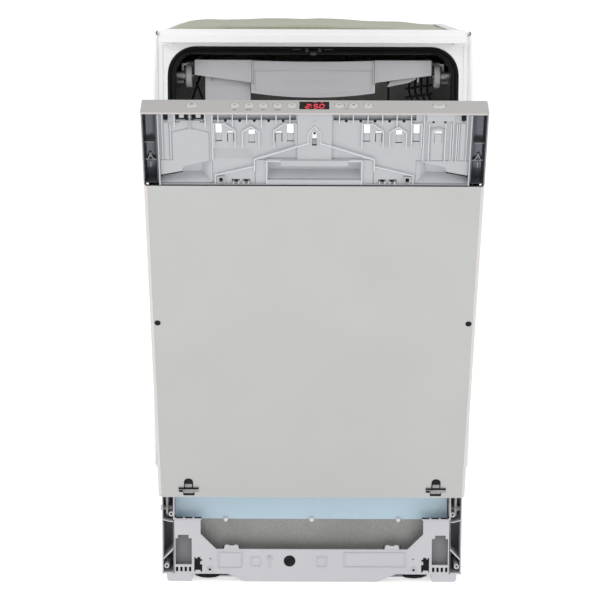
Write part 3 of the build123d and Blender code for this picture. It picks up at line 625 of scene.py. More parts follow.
def buildConsole():
    piece = bmesh.new()
    field, front, edge, wall = console["field"], console["front"], console["edge"], console["wall"]
    low, high, half = console["low"], console["high"], console["half"]
    pocket = [(-200.6, 578.5), (-200.6, 588.1), (-171.4, 594.3), (-169.1, 601.9), (-133, 611.5), (-133, 578.5)]
    pocketBase = [(-200.6, 584), (-200.6, 589), (-172.4, 595), (-171, 602), (-147, 609.5), (-147, 584)]
    handle, handleBase = rect((-61.6, 61.6), (583.5, 611.5)), rect((-59, 59), (588, 604))
    cutouts = [handle, rect((-2.8, 2.8), (635.5, 654.9))]
    for side in (-1, 1):
        cutouts.append(mirrored(pocket, -side))
        cutouts.append(rect(across(side, 24, 130.5), (670.8, 680)))
        cutouts.append(rect(across(side, 119.7, 124.2), (579.3, 585.4)))
        cutouts += [rect(across(side, near, far), (579.2, 583.8)) for near, far in ((84, 93.5), (97.5, 107.5))]
        for left, right, bottom, top in fixingWindows[side]:
            cutouts.append(rect((left, right), (bottom, top)))
        for left, right in clipSlots[side]:
            cutouts += [rect((left, left + 1), (639.2, 651.2)), rect((right - 1, right), (639.2, 651.2)),
                        rect((left + 0.2, right - 0.2), (651.5, 652.6))]
    addPrism(piece, rect((-half + 1, half - 1), (low, high)), (field - 2, field), holes=cutouts, tone=0)
    # painted shade: a black sheet behind the whole moulding darkens every opening
    addBox(piece, (-half + 1, half - 1), (low, high), (8, console["back"]), tone=2)
    for side in (-1, 1):
        addBox(piece, across(side, half - 2, half), (low, 681), (8, console["lip"]), edge)
        addBasin(piece, mirrored(pocket, -side), mirrored(pocketBase, -side), (field, 9.6), tone=4)
        # slatted band under the fascia: darker floor, ribs and small round holes drawn as black discs of painted
        # shade
        addBox(piece, across(side, 23, 131.5), (668, high), (field - 6, field - 5), tone=0)
        for x, foot in bandRibs:
            addWall(piece, [(side * x, foot), (side * x, high)], wall, (field - 5.5, front - 1), round=edge,
                    tone=4)
        for x in bandHoles["x"]:
            hole = [(0, field - 1), (bandHoles["radius"], field - 1), (bandHoles["radius"], field + 0.15),
                    (0, field + 0.15)]
            addLathe(piece, hole, (side * x, bandHoles["rise"]), sides=10, tone=2)
        if side < 0:
            addWall(piece, [(-131.8, high), (-131.8, 612)], wall, (field - 1, field + 3), round=edge, tone=4)
        # ribs that frame the fixing windows
        for points in windowFrames[side]:
            addWall(piece, points, wall, (field - 1, field + 3), round=edge, tone=4)
        # the slanted webs and the raised foot of the moulding
        addWall(piece, mirrored([(7.1, 639.2), (77.8, 614.7), (77.8, 597)], side), wall + 0.3,
                (field - 1, field + 4), round=edge, tone=4)
        addPrism(piece, mirrored([(77.5, 577), (77.5, 603.7), (127.9, 589.8), (127.9, 577)], side),
                 (field - 0.5, field + 1.2),
                 holes=[mirrored(rect((119.7, 124.2), (579.3, 585.4)), side),
                        mirrored(rect((84, 93.5), (578.5, 583.8)), side),
                        mirrored(rect((97.5, 107.5), (578.5, 583.8)), side)], round=edge)
        addWall(piece, mirrored([(129, 577), (129, 590.4), (77.8, 604.2)], side), wall, (field - 1, front - 1),
                round=edge, tone=4)
        addWall(piece, mirrored([(117.2, 577.5), (117.2, 588.5), (126.6, 588.5)], side), 0.9, (field, field + 4.2))
        for x in (85.5, 92.4, 98.6, 105.5):
            addBox(piece, across(side, x - 1.1, x + 1.1), (577.6, 582), (field - 3, field + 4), edge)
        addBox(piece, across(side, 76.8, 62.6), (577, 613), (field - 2, field + 1.5), edge)
        addWall(piece, mirrored([(62, 577), (62, 612.6)], side), wall, (field - 19, front), round=edge, tone=4)
        # capsule slot as a flat black shape of painted shade, long shallow panel and its ribs
        addPrism(piece, roundRect(across(side, 188.5, 194.5), (670.4, 684), 2.9), (field, field + 0.15), tone=2)
        cup = [(187.2, 681), (187.2, 672), (189.5, 668.9), (193.5, 668.9), (195.8, 672), (195.8, 681)]
        addWall(piece, mirrored(cup, side), 0.9, (field - 1, field + 2), round=0.2)
        addPrism(piece, roundRect(across(side, 188, 194.3), (612.5, 667.3), 1.6), (field, field + 0.9), round=edge)
        addWall(piece, mirrored([(186, 612), (186, 667)], side), 1, (field - 1, field + 2.2), round=0.2, tone=4)
        addWall(piece, mirrored([(196.6, 612), (196.6, 681)], side), 1, (field - 1, field + 2.2), round=0.2,
                tone=4)
    # ledge below the moulding, with the dark joint to the door skin
    addBox(piece, (-half, half), (575.9, 577.6), (9, 33), 0.3)
    addBox(piece, (-half - 18, half + 18), (575.7, 576.9), (32.6, 34.4), tone=2)
    buildFixingModule(piece)
    buildCentreColumn(piece, handle, handleBase)
    buildWindows(piece)
    # the last slot is the lighter painted-highlight copy of the console plastic
    slots = ["console_plastic", "white_plastic", "plug_black", "lit_window", "console_plastic_lit"]
    finishPiece(piece, "consoleMoulding", "door", slots, doorPlace, ["console"])


def buildFixingModule(piece):
    # left: pointed plate with the two dark ports above, drawn as flat black patches of painted shade; right: the
    # plain module with three ribs
    field, front, edge, high = console["field"], console["front"], console["edge"], console["high"]
    plate = [(-160.4, 659.2), (-183.7, 653.1), (-183.7, 611.9), (-200, 611.9), (-200, 588.9), (-171.9, 595),
             (-169.9, 602.3), (-136.6, 611.4), (-136.6, 652.8)]
    addPrism(piece, plate, (field - 0.5, field + 1.1), round=edge)
    # painted shade: black slits and patches stand in for the dark gaps and holes of both modules
    for side in (-1, 1):
        slit = mirrored([(200.4, 589.2), (171.6, 595)], side)
        addWall(piece, slit, 1.6, (field, field + 1.3), tone=2)
    addWall(piece, [(-160.4, 658), (-160.4, high)], 1.7, (field - 1, front - 2), round=edge)
    for x in (-180.3, -140.6):
        addWall(piece, [(x, 662.6), (x, high)], 1.5, (field - 1, front - 1), round=edge, tone=4)
    for x in ((-178.9, -163.6), (-157.4, -142.3)):
        addBox(piece, x, (672.3, high), (field, field + 0.2), tone=2)
        addBox(piece, (x[0] + 5, x[1] - 4), (675.5, high), (field, field + 3), edge)
    for x in ((-179, -173.5), (-147.7, -142.3)):
        addBox(piece, x, (667.4, 670), (field, field + 0.15), tone=2)
    for x in (-164, -156.8):
        addBox(piece, (x - 1.1, x + 1.1), (669.6, 679), (field, field + 2.4), 0.2, tone=2)
    addBox(piece, (-178.4, -142.8), (670.2, 671.6), (field, field + 3.2), 0.3)
    addBox(piece, (144, 180), (671.2, high), (field, field + 2.4), edge)
    for x in (152.6, 167.9):
        addBox(piece, (x - 1.4, x + 1.4), (667.6, 671.3), (field, field + 0.4), tone=2)
    for x, top in ((140.7, 680), (147.6, 668), (168.6, 668), (176, 668), (178.6, 671.5), (183.6, 667)):
        addWall(piece, [(x, 612), (x, top)], 1.3, (field - 1, field + 2.6), round=edge, tone=4)
    addWall(piece, [(149.4, 650), (149.4, 659), (159.2, 662), (167, 659), (167, 650)], 1, (field - 1, field + 1.4),
            round=0.2)
    slots = [rect((154.3, 155.3), (639.2, 651.2)), rect((163.7, 164.7), (639.2, 651.2)),
             rect((154.5, 164.5), (651.5, 652.6))]
    addPrism(piece, [(150.5, 613), (150.5, 658), (159.2, 660.6), (166, 658), (166, 613)],
             (field - 0.5, field + 0.8), holes=slots, round=0.2)
    addPrism(piece, [(200, 611.9), (200, 588.9), (171.9, 595), (169.9, 602.3), (134, 611.9)],
             (field - 0.5, field + 1.1), round=edge)


def buildCentreColumn(piece, handle, handleBase):
    field, front, edge, high = console["field"], console["front"], console["edge"], console["high"]
    column = [(-22.3, high), (-22.3, 613.8), (22.3, 613.8), (22.3, high)]
    addPrism(piece, column, (field - 0.5, front - 1.6), holes=[rect((-3.1, 3.1), (635, 654.6))], round=edge)
    house = [(-8.2, 636), (-8.2, 653.5), (0, 663.6), (8.2, 653.5), (8.2, 636)]
    addWall(piece, house, 1.1, (front - 2, front - 0.4), round=0.2, tone=4)
    addLathe(piece, [(0, front - 1.8), (1.9, front - 1.8), (1.9, front - 1.2), (1.2, front - 1.5),
                     (0, front - 1.5)], (0, 671), sides=16)
    # open grip: sloping trough, hooked bar above and lip below
    addBasin(piece, handle, handleBase, (field + 3.5, 9.8), wall=1.2, tone=4)
    addPrism(piece, [(-43.8, 605.5), (-43.8, 613.9), (43.8, 613.9), (43.8, 605.5)], (field - 2, front + 0.6),
             round=0.5)
    addBox(piece, (-62.6, 62.6), (611.6, 614.6), (field - 2, front - 1), edge)
    addBox(piece, (-61.6, 61.6), (577.2, 584.4), (field - 6, front - 0.5), 0.5)


def buildWindows(piece):
    # a white tongue with a painted glow stands behind each window, with a ramp and a black foot of painted shade
    # below it
    field = console["field"]
    for left, right, foot, top in fixingWindows[-1] + fixingWindows[1]:
        foot, ledge = foot + 0.6, foot + 11.5
        addBox(piece, (left, right), (ledge - 1, top), (field - 3, field - 2), tone=3)
        wedge = [(foot + 1, field - 5.5), (ledge, field - 3.5), (ledge, field - 0.8), (foot + 1, field + 0.7)]
        addLoft(piece, [[(x, rise, out) for rise, out in wedge] for x in (left + 0.2, right - 0.2)], tone=0)
        addBox(piece, (left - 0.6, right + 0.6), (foot - 0.5, foot + 0.6), (field - 0.5, field + 0.2), tone=2)
    for left, right in clipSlots[-1] + clipSlots[1] + [(154.5, 164.5)]:
        lens = [(left + 0.3, 652.7), (right - 0.3, 652.7), (right - 1, 656), (left + 1, 656)]
        addPrism(piece, lens, (field, field + 0.9), round=0.3, tone=1)
    # centre slot: black pin and foot of painted shade around a glowing white tongue
    addLathe(piece, [(0, 25), (1.6, 25), (1.6, field + 2.2), (0, field + 2.2)], (0, 652.8), sides=14, tone=2)
    addLoft(piece, [[(x, 636, 25), (x, 643, 25), (x, 643, 26), (x, 636, 30)] for x in (-2.9, 2.9)], tone=0)
    addBox(piece, (-3, 3), (643, 652.5), (25, 26), tone=3)
    addBox(piece, (-3, 3), (635, 636.2), (25, field + 1.8), tone=2)
    # fine upright ridges on the field under the left windows
    ridge = bmesh.new()
    addBox(ridge, (-ridges["wide"] / 2, ridges["wide"] / 2), (0, ridges["long"]), (-0.4, ridges["proud"]))
    places = [(ridges["first"] + ridges["pitch"] * index, ridges["foot"], field)
              for index in range(ridges["count"])]
    repeatPiece(ridge, places, "fieldRidges", "door", "console_plastic", doorPlace)


buildConsole()


# fascia, buttons and display on the door's top edge: x and out, raised along the door

fascia = {"half": 223.3, "rise": (682.6, 684.5), "out": (0.3, 34.7), "radius": 1.2, "buttonOut": 13.6,
          "buttonDepth": 7.2, "gap": 0.45, "rims": (1.5, 0.5), "crown": 0.55}
buttons = {"power_button": (-158.2, 7.8), "program_button_1": (-102.7, 6.6), "program_button_2": (-84.7, 6.6),
           "program_button_3": (-66.3, 6.6), "program_button_4": (-47.6, 6.6), "program_button_5": (-29.2, 6.6),
           "minus_button": (31.7, 6.6), "plus_button": (50.3, 6.6), "delay_button": (69.1, 6.6),
           "start_button": (160.5, 9.0)}
# bars of each button's sign: x about its middle, and out
signs = {"minus_button": [((-1.9, 1.9), (13.1, 14.1))],
         "plus_button": [((-1.9, 1.9), (13.1, 14.1)), ((-0.35, 0.35), (11.4, 15.8))],
         "power_button": [((-0.3, 0.3), (10.8, 13.4))], "start_button": [((-3.8, 3.8), (13.2, 14))],
         "others": [((-1.7, 1.7), (14.6, 15.4)), ((-0.4, 0.4), (11.8, 13))]}
# reading is each digit's lit segments and its left edge
display = {"x": (-19.5, 18.5), "out": (4.2, 24.3), "digit": (5.2, 10), "segment": 1.2, "slant": 0.14,
           "middle": 16.4, "reading": (("abged", -11.2), ("afgcd", -1.2), ("abcdef", 6.6)),
           "colon": ((-5, -3.9), (13.6, 19.2)), "dots": (0.6, 9.2)}


def buttonOutline(x, wide, deep, sides):
    return circle(x, fascia["buttonOut"], wide, sides, deep / wide)


def buildFascia():
    piece = bmesh.new()
    depth = fascia["buttonDepth"]
    gap = fascia["gap"]
    holes = [buttonOutline(x, wide + gap, depth + gap, 32) for x, wide in buttons.values()]
    holes.append(rect(*[(span[0] - 0.3, span[1] + 0.3) for span in (display["x"], display["out"])]))
    sheet = roundRect((-fascia["half"], fascia["half"]), fascia["out"], fascia["radius"])
    addPrism(piece, sheet, fascia["rise"], holes=holes, view="front", round=0.12)
    high = fascia["rise"][1]
    for x, wide in buttons.values():
        outer, inner = (buttonOutline(x, wide + grow, depth + grow, 32) for grow in fascia["rims"])
        addPrism(piece, outer, (high - 0.3, high + 0.16), holes=[inner], view="front", tone=1)
    # plain bars under four of the programme buttons, and a small ring between two others
    for index, name in enumerate(("program_button_1", "program_button_2", "program_button_3", "program_button_4")):
        x, reach = buttons[name][0], 2.2 + index % 2 * 1.6
        addBox(piece, (x - reach, x + reach), (high - 0.2, high + 0.06), (25.6, 27), tone=2)
    addLathe(piece, [(2.1, high), (2.1, high + 0.1), (1.8, high + 0.1), (1.8, high)], (41, 22.5), view="front",
             sides=20, tone=2)
    addBox(piece, (-222.6, 222.6), (681.6, 682.8), (32.8, 34.2), 0.3)      # folded skirt over the console
    finishPiece(piece, "fasciaPlate", "door", ["fascia_steel", "button_metal", "pump_plastic"], doorPlace,
                ["fascia"])


def buildButtons():
    top, deep = fascia["rise"][1] + 0.25, fascia["buttonDepth"]
    mark = top + fascia["crown"]
    for name, (x, wide) in buttons.items():
        piece = bmesh.new()
        # how far each step stands in from the outline, and its rise
        steps = [(0, 676.6), (0, top - 0.45), (0.25, top - 0.12), (0.7, top), (2.2, top + fascia["crown"] * 0.55),
                 (4.4, mark)]
        addLoft(piece, [[(u, rise, v) for u, v in buttonOutline(x, wide - inset, deep - inset, 36)]
                        for inset, rise in steps])
        for span, out in signs.get(name, signs["others"]):
            addBox(piece, (x + span[0], x + span[1]), (mark - 0.3, mark + 0.05), out, tone=1)
        if name == "power_button":
            ring = circle(x, fascia["buttonOut"], 2.3, 24, 1.35)
            addPrism(piece, ring, (mark - 0.3, mark + 0.05),
                     holes=[circle(x, fascia["buttonOut"], 1.85, 24, 1.35)], view="front", tone=1)
        finishPiece(piece, name + "Cap", name, ["button_metal", "pump_plastic"], doorPlace, [name])


def segmentOutline(name, x):
    # one bar of a seven-segment digit, leaning with the digit; level is measured from the digit's foot
    (wide, tall), thick, middle = display["digit"], display["segment"], display["middle"]
    flat = {"a": tall, "g": tall / 2, "d": 0}
    upright = {"f": (0, tall / 2), "b": (wide, tall / 2), "e": (0, 0), "c": (wide, 0)}
    if name in flat:
        level = flat[name] + (middle - tall / 2)
        lean = (level - middle) * display["slant"]
        left, right, low, high = x + lean + 0.5, x + wide + lean - 0.5, level - thick * 0.8, level + thick * 0.8
        corners = [(left, low), (right, low), (right, high), (left, high)]
    else:
        start, level = upright[name]
        low, high = level + (middle - tall / 2) + 0.8, level + (middle - tall / 2) + tall / 2 - 0.8
        leanLow, leanHigh = ((edge - middle) * display["slant"] for edge in (low, high))
        left, right = x + start - thick / 2, x + start + thick / 2
        corners = [(left + leanLow, low), (right + leanLow, low), (right + leanHigh, high),
                   (left + leanHigh, high)]
    return [(u, 2 * middle - v) for u, v in corners]


def buildDisplay():
    piece = bmesh.new()
    low, high = fascia["rise"]
    lit = (high - 0.2, high + 0.02)
    addPrism(piece, roundRect(display["x"], display["out"], 0.5), (low - 3, high - 0.05), view="front", round=0.15)
    for segments, x in display["reading"]:
        for name in segments:
            addPrism(piece, segmentOutline(name, x), lit, view="front", tone=1)
    span, levels = display["colon"]
    for level in levels:
        addBox(piece, span, lit, (level - 0.9, level + 0.9), tone=1)
    for x in display["dots"]:
        addBox(piece, (x - 1.6, x + 1.6), lit, (5.4, 6.6), tone=1)
    finishPiece(piece, "displayWindow", "door", ["display_black", "lit_segment"], doorPlace, ["display_window"])


def buildSideChannels():
    piece = bmesh.new()
    for side in (-1, 1):
        addBox(piece, across(side, 203.4, 204.6), (577, 681.5), (6.5, 30), 0.3, tone=1)
        addBox(piece, across(side, 221.6, 223.3), (577, 682), (6.5, 30), 0.3, tone=0)
        addBox(piece, across(side, 203.4, 223.3), (577, 681.5), (6.5, 8), 0, tone=1)
        wedge = ((204.8, 8.1), (221.6, 8.1), (221.6, 16), (219, 10.5))
        addLoft(piece, [[(side * x, rise, out) for x, out in wedge] for rise in (578, 680)], tone=1)
        addBox(piece, across(side, 203.4, 223.3), (577, 578.4), (6.5, 29), 0.2, tone=1)
        # bent tab, spring clip and the latch ear below it
        addBox(piece, across(side, 207.5, 220.5), (632.6, 633.8), (8, 20), 0.2, tone=0)
        addWall(piece, mirrored([(206, 603.5), (210.5, 605), (214.2, 612.5), (217.6, 605), (222, 603.5)], side),
                1.1, (8, 14), round=0.2, tone=2)
        addBox(piece, across(side, 213.3, 215), (592, 601), (8, 13), 0.2, tone=2)
        addLathe(piece, [(0, 8), (1.9, 8), (1.9, 12), (0, 12.6)], (side * 214.2, 611.5), sides=16, tone=2)
        addBox(piece, across(side, 206, 221), (602.4, 603.4), (8, 12), 0.2, tone=2)
        # painted shade: a black block stands in for the dark notch at the foot of each channel
        addBox(piece, across(side, 203.2, 206.4), (574.8, 577.6), (20, 31), 0.2, tone=3)
    finishPiece(piece, "sideChannels", "door", ["zinc_steel", "channel_shade", "spring_steel", "black_screw"],
                doorPlace, ["side_channels"])


buildFascia()
buildButtons()
buildDisplay()
buildSideChannels()


# plinth front, columns, feet, galvanised plate and film: x and z on the cabinet's front

# inset is the left column's offset to the middle; screw, peep, studs and labels are places on the front
plinth = {"front": -252, "wall": 3, "edge": 0.5, "inset": 1.8, "plate": -229.5, "film": -231.2,
          "screw": (152.4, 19), "peep": (151.6, 35.4), "bayBack": -203, "bayTop": 131.8,
          "vents": (180, 186.4, 192.8, 199.3), "ventWide": 3.7, "studs": (-129.1, 0.6, 129.8), "studHigh": 90.8,
          "bosses": ((209.4, 103.4), (216.4, 24.1)),
          "slots": ((191.8, 202.6), (177.9, 189.1), (164.4, 175)), "spindle": (-32, 32),
          "labels": (((-140.1, -104.3), (20.9, 45.2)), ((48.6, 140.5), (22.2, 45.4))), "fields": (-90, 8)}


def addDisc(piece, centre, radius, depth, sides):
    # black disc of painted shade at the end of a hole
    low, high = depth
    addLathe(piece, [(0, low), (radius, low), (radius, high), (0, high)], centre, view="front", sides=sides,
             tone=2)


def addColumnBay(piece, side):
    # open bay beside a column: two walls, grey back in painted shade, curved rib, sloping rib and two screw bosses
    # with black painted-shade holes
    front, back, high = plinth["front"], plinth["bayBack"], plinth["bayTop"]
    addBox(piece, across(side, 221.4, 223.2), (front, -200), (12, high), 0.4)
    addBox(piece, across(side, 204.6, 206.6), (front, -200), (12, high), 0.4)
    addBox(piece, across(side, 205, 223), (back, -200), (12, high), tone=1)
    addBox(piece, across(side, 205, 223), (front, back), (12, 14.4), 0.4)
    arc = [(206 + 15.6 * step / 6, 95 - 3.2 * math.sin(math.pi * (0.5 + step / 12))) for step in range(7)]
    addWall(piece, mirrored(arc, side), 1.5, (front + 0.6, back), view="front", round=0.2)
    addWall(piece, mirrored([(205.6, 50.8), (221.6, 34.6)], side), 1.9, (front + 0.4, back), view="front",
            round=0.2)
    boss = [(1.7, back), (3.9, back), (3.7, front + 0.3), (2, front + 0.3), (1.7, front + 1.2)]
    for x, z in plinth["bosses"]:
        addLathe(piece, boss, (side * x, z), view="front", sides=24)
        addLathe(piece, [(0, back - 0.2), (1.8, back - 0.2), (1.8, front + 5), (0, front + 5)], (side * x, z),
                 view="front", sides=16, tone=2)
    addWall(piece, mirrored([(214, high), (214, 118)], side), 1.4, (-236, back), view="front", round=0.2)


def buildPlinth():
    piece = bmesh.new()
    front = plinth["front"]
    depth = (front, front + plinth["wall"])
    outline = [(-206.5, 12), (-126, 12), (-98, 0.2), (98, 0.2), (126, 12), (206.5, 12), (206.5, 95.2), (166, 95.2),
               (166, 73), (143, 50), (-143, 50), (-166, 73), (-166, 95.2), (-206.5, 95.2)]
    notch = [(163.8, 15), (166.4, 15), (166.4, 17.5), (174, 17.5), (174, 15.3), (175.6, 15.3), (175.6, 37.6),
             (173.6, 37.6), (173.6, 35.4), (171.4, 35.4), (171.4, 37.6), (166.4, 37.6), (166.4, 34.6),
             (164, 34.6), (164, 31), (166.6, 31), (166.6, 26.5), (163.6, 26.5)]
    pocket = [(179.2, 26.2), (203.4, 26.2), (203.4, 66.6), (199.6, 66.6), (199.6, 71.8), (183.8, 71.8),
              (183.8, 66.6), (179.2, 66.6)]
    holes = [circle(*plinth["spindle"], 8.8, 32)]
    for side in (-1, 1):
        holes += [mirrored(notch, side), mirrored(pocket, side)]
        holes += [mirrored(rect((left, left + plinth["ventWide"]), (15.4, 22.6)), side)
                  for left in plinth["vents"]]
    addPrism(piece, outline, depth, holes=holes, view="front", round=plinth["edge"])
    for side in (-1, 1):
        flat = mirrored([(180, 0.2), (213, 0.2), (216, 2.5), (216.4, 12.5), (178.4, 12.5), (178.8, 2.5)], side)
        addPrism(piece, flat, (front, front + 15), view="front", round=0.8)
        # the pocket's inside is darker grey painted shade
        addBasin(piece, mirrored(pocket, side), mirrored(pocket, side), (front + 2.8, front + 12), wall=0.8,
                 view="front", tone=1)
        # painted shade: black boxes stand in for the dark space behind the notch and the vents
        addBox(piece, across(side, 161, 178), (front + 3, front + 6), (14, 40), tone=2)
        addBox(piece, across(side, 179.4, 203.6), (front + 2.6, front + 4), (14.6, 23.4), tone=2)
        addColumnBay(piece, side)
        # upper edge: three slots in a stepped flange, the slots drawn as black boxes of painted shade
        addBox(piece, across(side, 164.2, 206), (front + 0.4, front + 3), (94.6, 98.2), 0.3)
        for left, right in plinth["slots"]:
            addBox(piece, across(side, left, right), (front + 0.2, front + 3.2), (96.9, 98.5), tone=2)
        addWall(piece, mirrored([(202.6, 98.2), (206, 101.4)], side), 1.6, (front + 0.4, front + 4), view="front",
                tone=2)
        # sunk screw with its collar, sighting hole and latch tab; the screw's centre, the sighting hole and the
        # slits beside the tab are black painted shade
        x, z = plinth["screw"]
        collar = [(2, front - 1.6), (3.6, front - 1.6), (4.4, front - 0.2), (4.4, front + 1), (2, front + 1)]
        addLathe(piece, collar, (side * x, z), view="front", sides=24)
        addDisc(piece, (side * x, z), 2, (front - 0.2, front + 1), 16)
        addDisc(piece, (side * plinth["peep"][0], plinth["peep"][1]), 1.1, (front - 0.1, front + 1), 12)
        tab = [(131.5, 49.5), (129.6, 56.4), (124.6, 56.8), (123, 55.4), (116.6, 55.4), (115, 56.8), (110.6, 56.4),
               (108.6, 49.5)]
        addPrism(piece, mirrored(tab, side), (front, front + 2.4), view="front", round=0.3)
        for x in (132.2, 107.9):
            addBox(piece, across(side, x - 0.5, x + 0.5), (front + 2.6, front + 3.4), (50.2, 55.4), tone=2)
    for x, z in plinth["labels"]:
        inner = rect((x[0] + 1.1, x[1] - 1.1), (z[0] + 1.1, z[1] - 1.1))
        addPrism(piece, rect(x, z), (front - 1.1, front + 0.5), holes=[inner], view="front", round=0.15)
    # embossed arrow and square fields
    for points in ([(-62, 22), (-62, 40), (-66.5, 33.5)], [(-62, 40), (-57.5, 33.5)]):
        addWall(piece, points, 1.5, (front - 1, front + 0.4), view="front")
    for left in plinth["fields"]:
        addPrism(piece, rect((left, left + 15), (23, 38)), (front - 0.9, front + 0.4),
                 holes=[rect((left + 1.1, left + 13.9), (24.1, 36.9))], view="front")
    # white rivets through the lower edge of the film
    stud = [(0, -236.6), (2, -236.4), (3.5, -234.6), (3.7, -231.4), (1.6, -231), (1.6, -228.8), (0, -228.8)]
    for x in plinth["studs"]:
        addLathe(piece, stud, (x, plinth["studHigh"]), view="front", sides=24, tone=3)
    for vert in piece.verts:
        if vert.co.x < -100:
            vert.co.x += plinth["inset"]
    slots = ["base_plastic", "recess_shade_grey", "plug_black", "white_plastic"]
    finishPiece(piece, "plinthFront", "cabinet", slots, cabinetPlace, ["base_front"])


def buildPlinthSheets():
    piece = bmesh.new()
    back = plinth["plate"]
    addPrism(piece, [(-172, 92), (-172, 66), (-148, 41.5), (148, 41.5), (172, 66), (172, 92)], (back, back + 1.2),
             view="front", round=0.2)
    addBox(piece, (-124, 124), (back, back + 12), (40.4, 41.6), 0.2)
    finishPiece(piece, "recessPlate", "cabinet", ["zinc_sheet"], cabinetPlace, ["recess_plate"])
    piece = bmesh.new()
    front = plinth["film"]
    columns = 48
    rings = []
    for step in range(columns + 1):
        x = -202.5 + 405 * step / columns
        wave = 0.25 * math.sin(x / 13) + 0.2 * math.sin(x / 31 + 1)
        rings.append([(x, front + wave + 0.3, 91), (x, front + wave * 0.4 + 0.3, 112), (x, front + 0.2, 134.8),
                      (x, front + 0.9, 134.8), (x, front + wave * 0.4 + 1, 112), (x, front + wave + 1, 91)])
    addLoft(piece, rings)
    finishPiece(piece, "kickFilm", "cabinet", ["apron_film"], cabinetPlace, ["kick_apron"])


# places are on the floor plan; thread is the first turn's level, the pitch and the number of turns
foot = {"places": {"front_foot_left": (-154, -215), "front_foot_right": (154, -215), "rear_foot": (0, 225)},
        "thread": (11, 2.9, 26), "grips": 12, "gripRing": 20}


def buildFeet():
    first, pitch, turns = foot["thread"]
    profile = [(0, 0.2), (19, 0.2), (21.6, 1.6), (21.8, 4.4), (20.2, 6.6), (12, 8.2), (8.5, 8.4), (7.4, 9.4),
               (6, 9.8)]
    for turn in range(turns):
        z = first + pitch * turn
        profile += [(5.95, z), (5.45, z + 0.9), (5.45, z + 1.6), (5.95, z + 2.4)]
    profile += [(5, 87.8), (0, 87.8)]
    for name, centre in foot["places"].items():
        piece = bmesh.new()
        addLathe(piece, profile, centre, view="plan", sides=32)
        for index in range(foot["grips"]):
            grip = onCircle(centre, foot["gripRing"], math.tau * index / foot["grips"])
            addLathe(piece, [(0, 1), (1.7, 1), (1.7, 5.6), (0.9, 6.4), (0, 6.4)], grip, view="plan", sides=10)
        finishPiece(piece, name + "Body", name, ["foot_plastic"], cabinetPlace, [name])
    piece = bmesh.new()
    shaft = [(0, -250.3), (1.2, -250.3), (7.6, -250.9), (8.4, -250.2), (8.4, -244.2), (5, -244), (4.9, 196.8),
             (0, 196.8)]
    addLathe(piece, shaft, plinth["spindle"], view="front", sides=32)
    slot = [(-38.4, 29.2), (-36.8, 27), (-25.6, 34.8), (-27.2, 37)]
    addPrism(piece, slot, (-251.9, -250.4), view="front", round=0.2, tone=1)
    finishPiece(piece, "rearFootSpindle", "rear_foot_spindle", ["foot_plastic", "black_screw"], cabinetPlace,
                ["rear_foot_spindle"])


# x of the left and right bracket, and the plugs' place on each side
bracket = {"x": (-178.6, 180.3), "plug": (213, 358)}


def buildBrackets():
    # bent panel bracket: domed boss above a folded plate, seated in a slot whose dark inside is drawn as black
    # patches of painted shade
    piece = bmesh.new()
    for x in bracket["x"]:
        dome = [(x - 6.6, 68), (x - 6.6, 78)]
        dome += [(x - 6.6 * math.cos(math.pi * step / 12), 78 + 6.4 * math.sin(math.pi * step / 12))
                 for step in range(1, 12)]
        dome += [(x + 6.6, 78), (x + 6.6, 68)]
        addPrism(piece, dome[::-1], (35.02, 35.5), round=0.15, tone=1)
        addPrism(piece, [(x - 5, 69), (x - 5, 75), (x + 5, 75), (x + 5, 69)], (35.2, 36.6), round=0.4)
        addBox(piece, (x - 14.6, x + 14.6), (66.2, 67.6), (35.05, 37.6), 0.2, tone=1)
        addBox(piece, (x - 14.2, x + 14.2), (60.2, 65.6), (35.05, 36.4), 0.4)
        addBox(piece, (x - 14.2, x - 8.5), (60.2, 64.2), (36.2, 36.5), 0.1, tone=1)
        addPrism(piece, roundRect((x - 8.2, x + 8.2), (53, 60), 1.4), (35.02, 35.35), tone=1)
        addLathe(piece, [(0, 36.2), (2.1, 36.2), (2, 37), (1.2, 37.3), (0, 37.3)], (x - 6.4, 62.8), sides=16)
        addBox(piece, (x - 7, x + 7), (57.8, 60.4), (35.1, 36.2), 0.3)
    finishPiece(piece, "panelBrackets", "door", ["zinc_steel", "plug_black"], doorPlace, ["panel_brackets"])
    piece = bmesh.new()
    x, rise = bracket["plug"]
    for side in (-1, 1):
        addLathe(piece, [(0, 30), (3.9, 30), (3.9, 35.05), (4.3, 35.1), (3.9, 35.38), (0, 35.4)], (side * x, rise),
                 sides=24)
    finishPiece(piece, "sidePlugs", "door", ["plug_black"], doorPlace, ["side_plugs"])


buildPlinth()
buildPlinthSheets()
buildFeet()
buildBrackets()


# top bar, front flange, door seal and edge strips

top = {"barHalf": 217, "flange": (-226, -217.3), "frameHalf": 219, "openHalf": 209.4, "openTop": 790.4,
       "radius": 40.4, "sealHalf": 203.4, "sealTop": 784.4, "sealRadius": 35}


def arch(half, high, radius, low, steps=12):
    # inverted U: points with their outward direction, from the left foot to the right one
    points = [((-half, low), (-1, 0)), ((-half, (low + high - radius) / 2), (-1, 0))]
    for side, start in ((-1, 180), (1, 90)):
        for step in range(steps + 1):
            angle = math.radians(start - 90 * step / steps)
            points.append(((side * (half - radius) + radius * math.cos(angle),
                            high - radius + radius * math.sin(angle)),
                           (math.cos(angle), math.sin(angle))))
    return points + [((half, (low + high - radius) / 2), (1, 0)), ((half, low), (1, 0))]


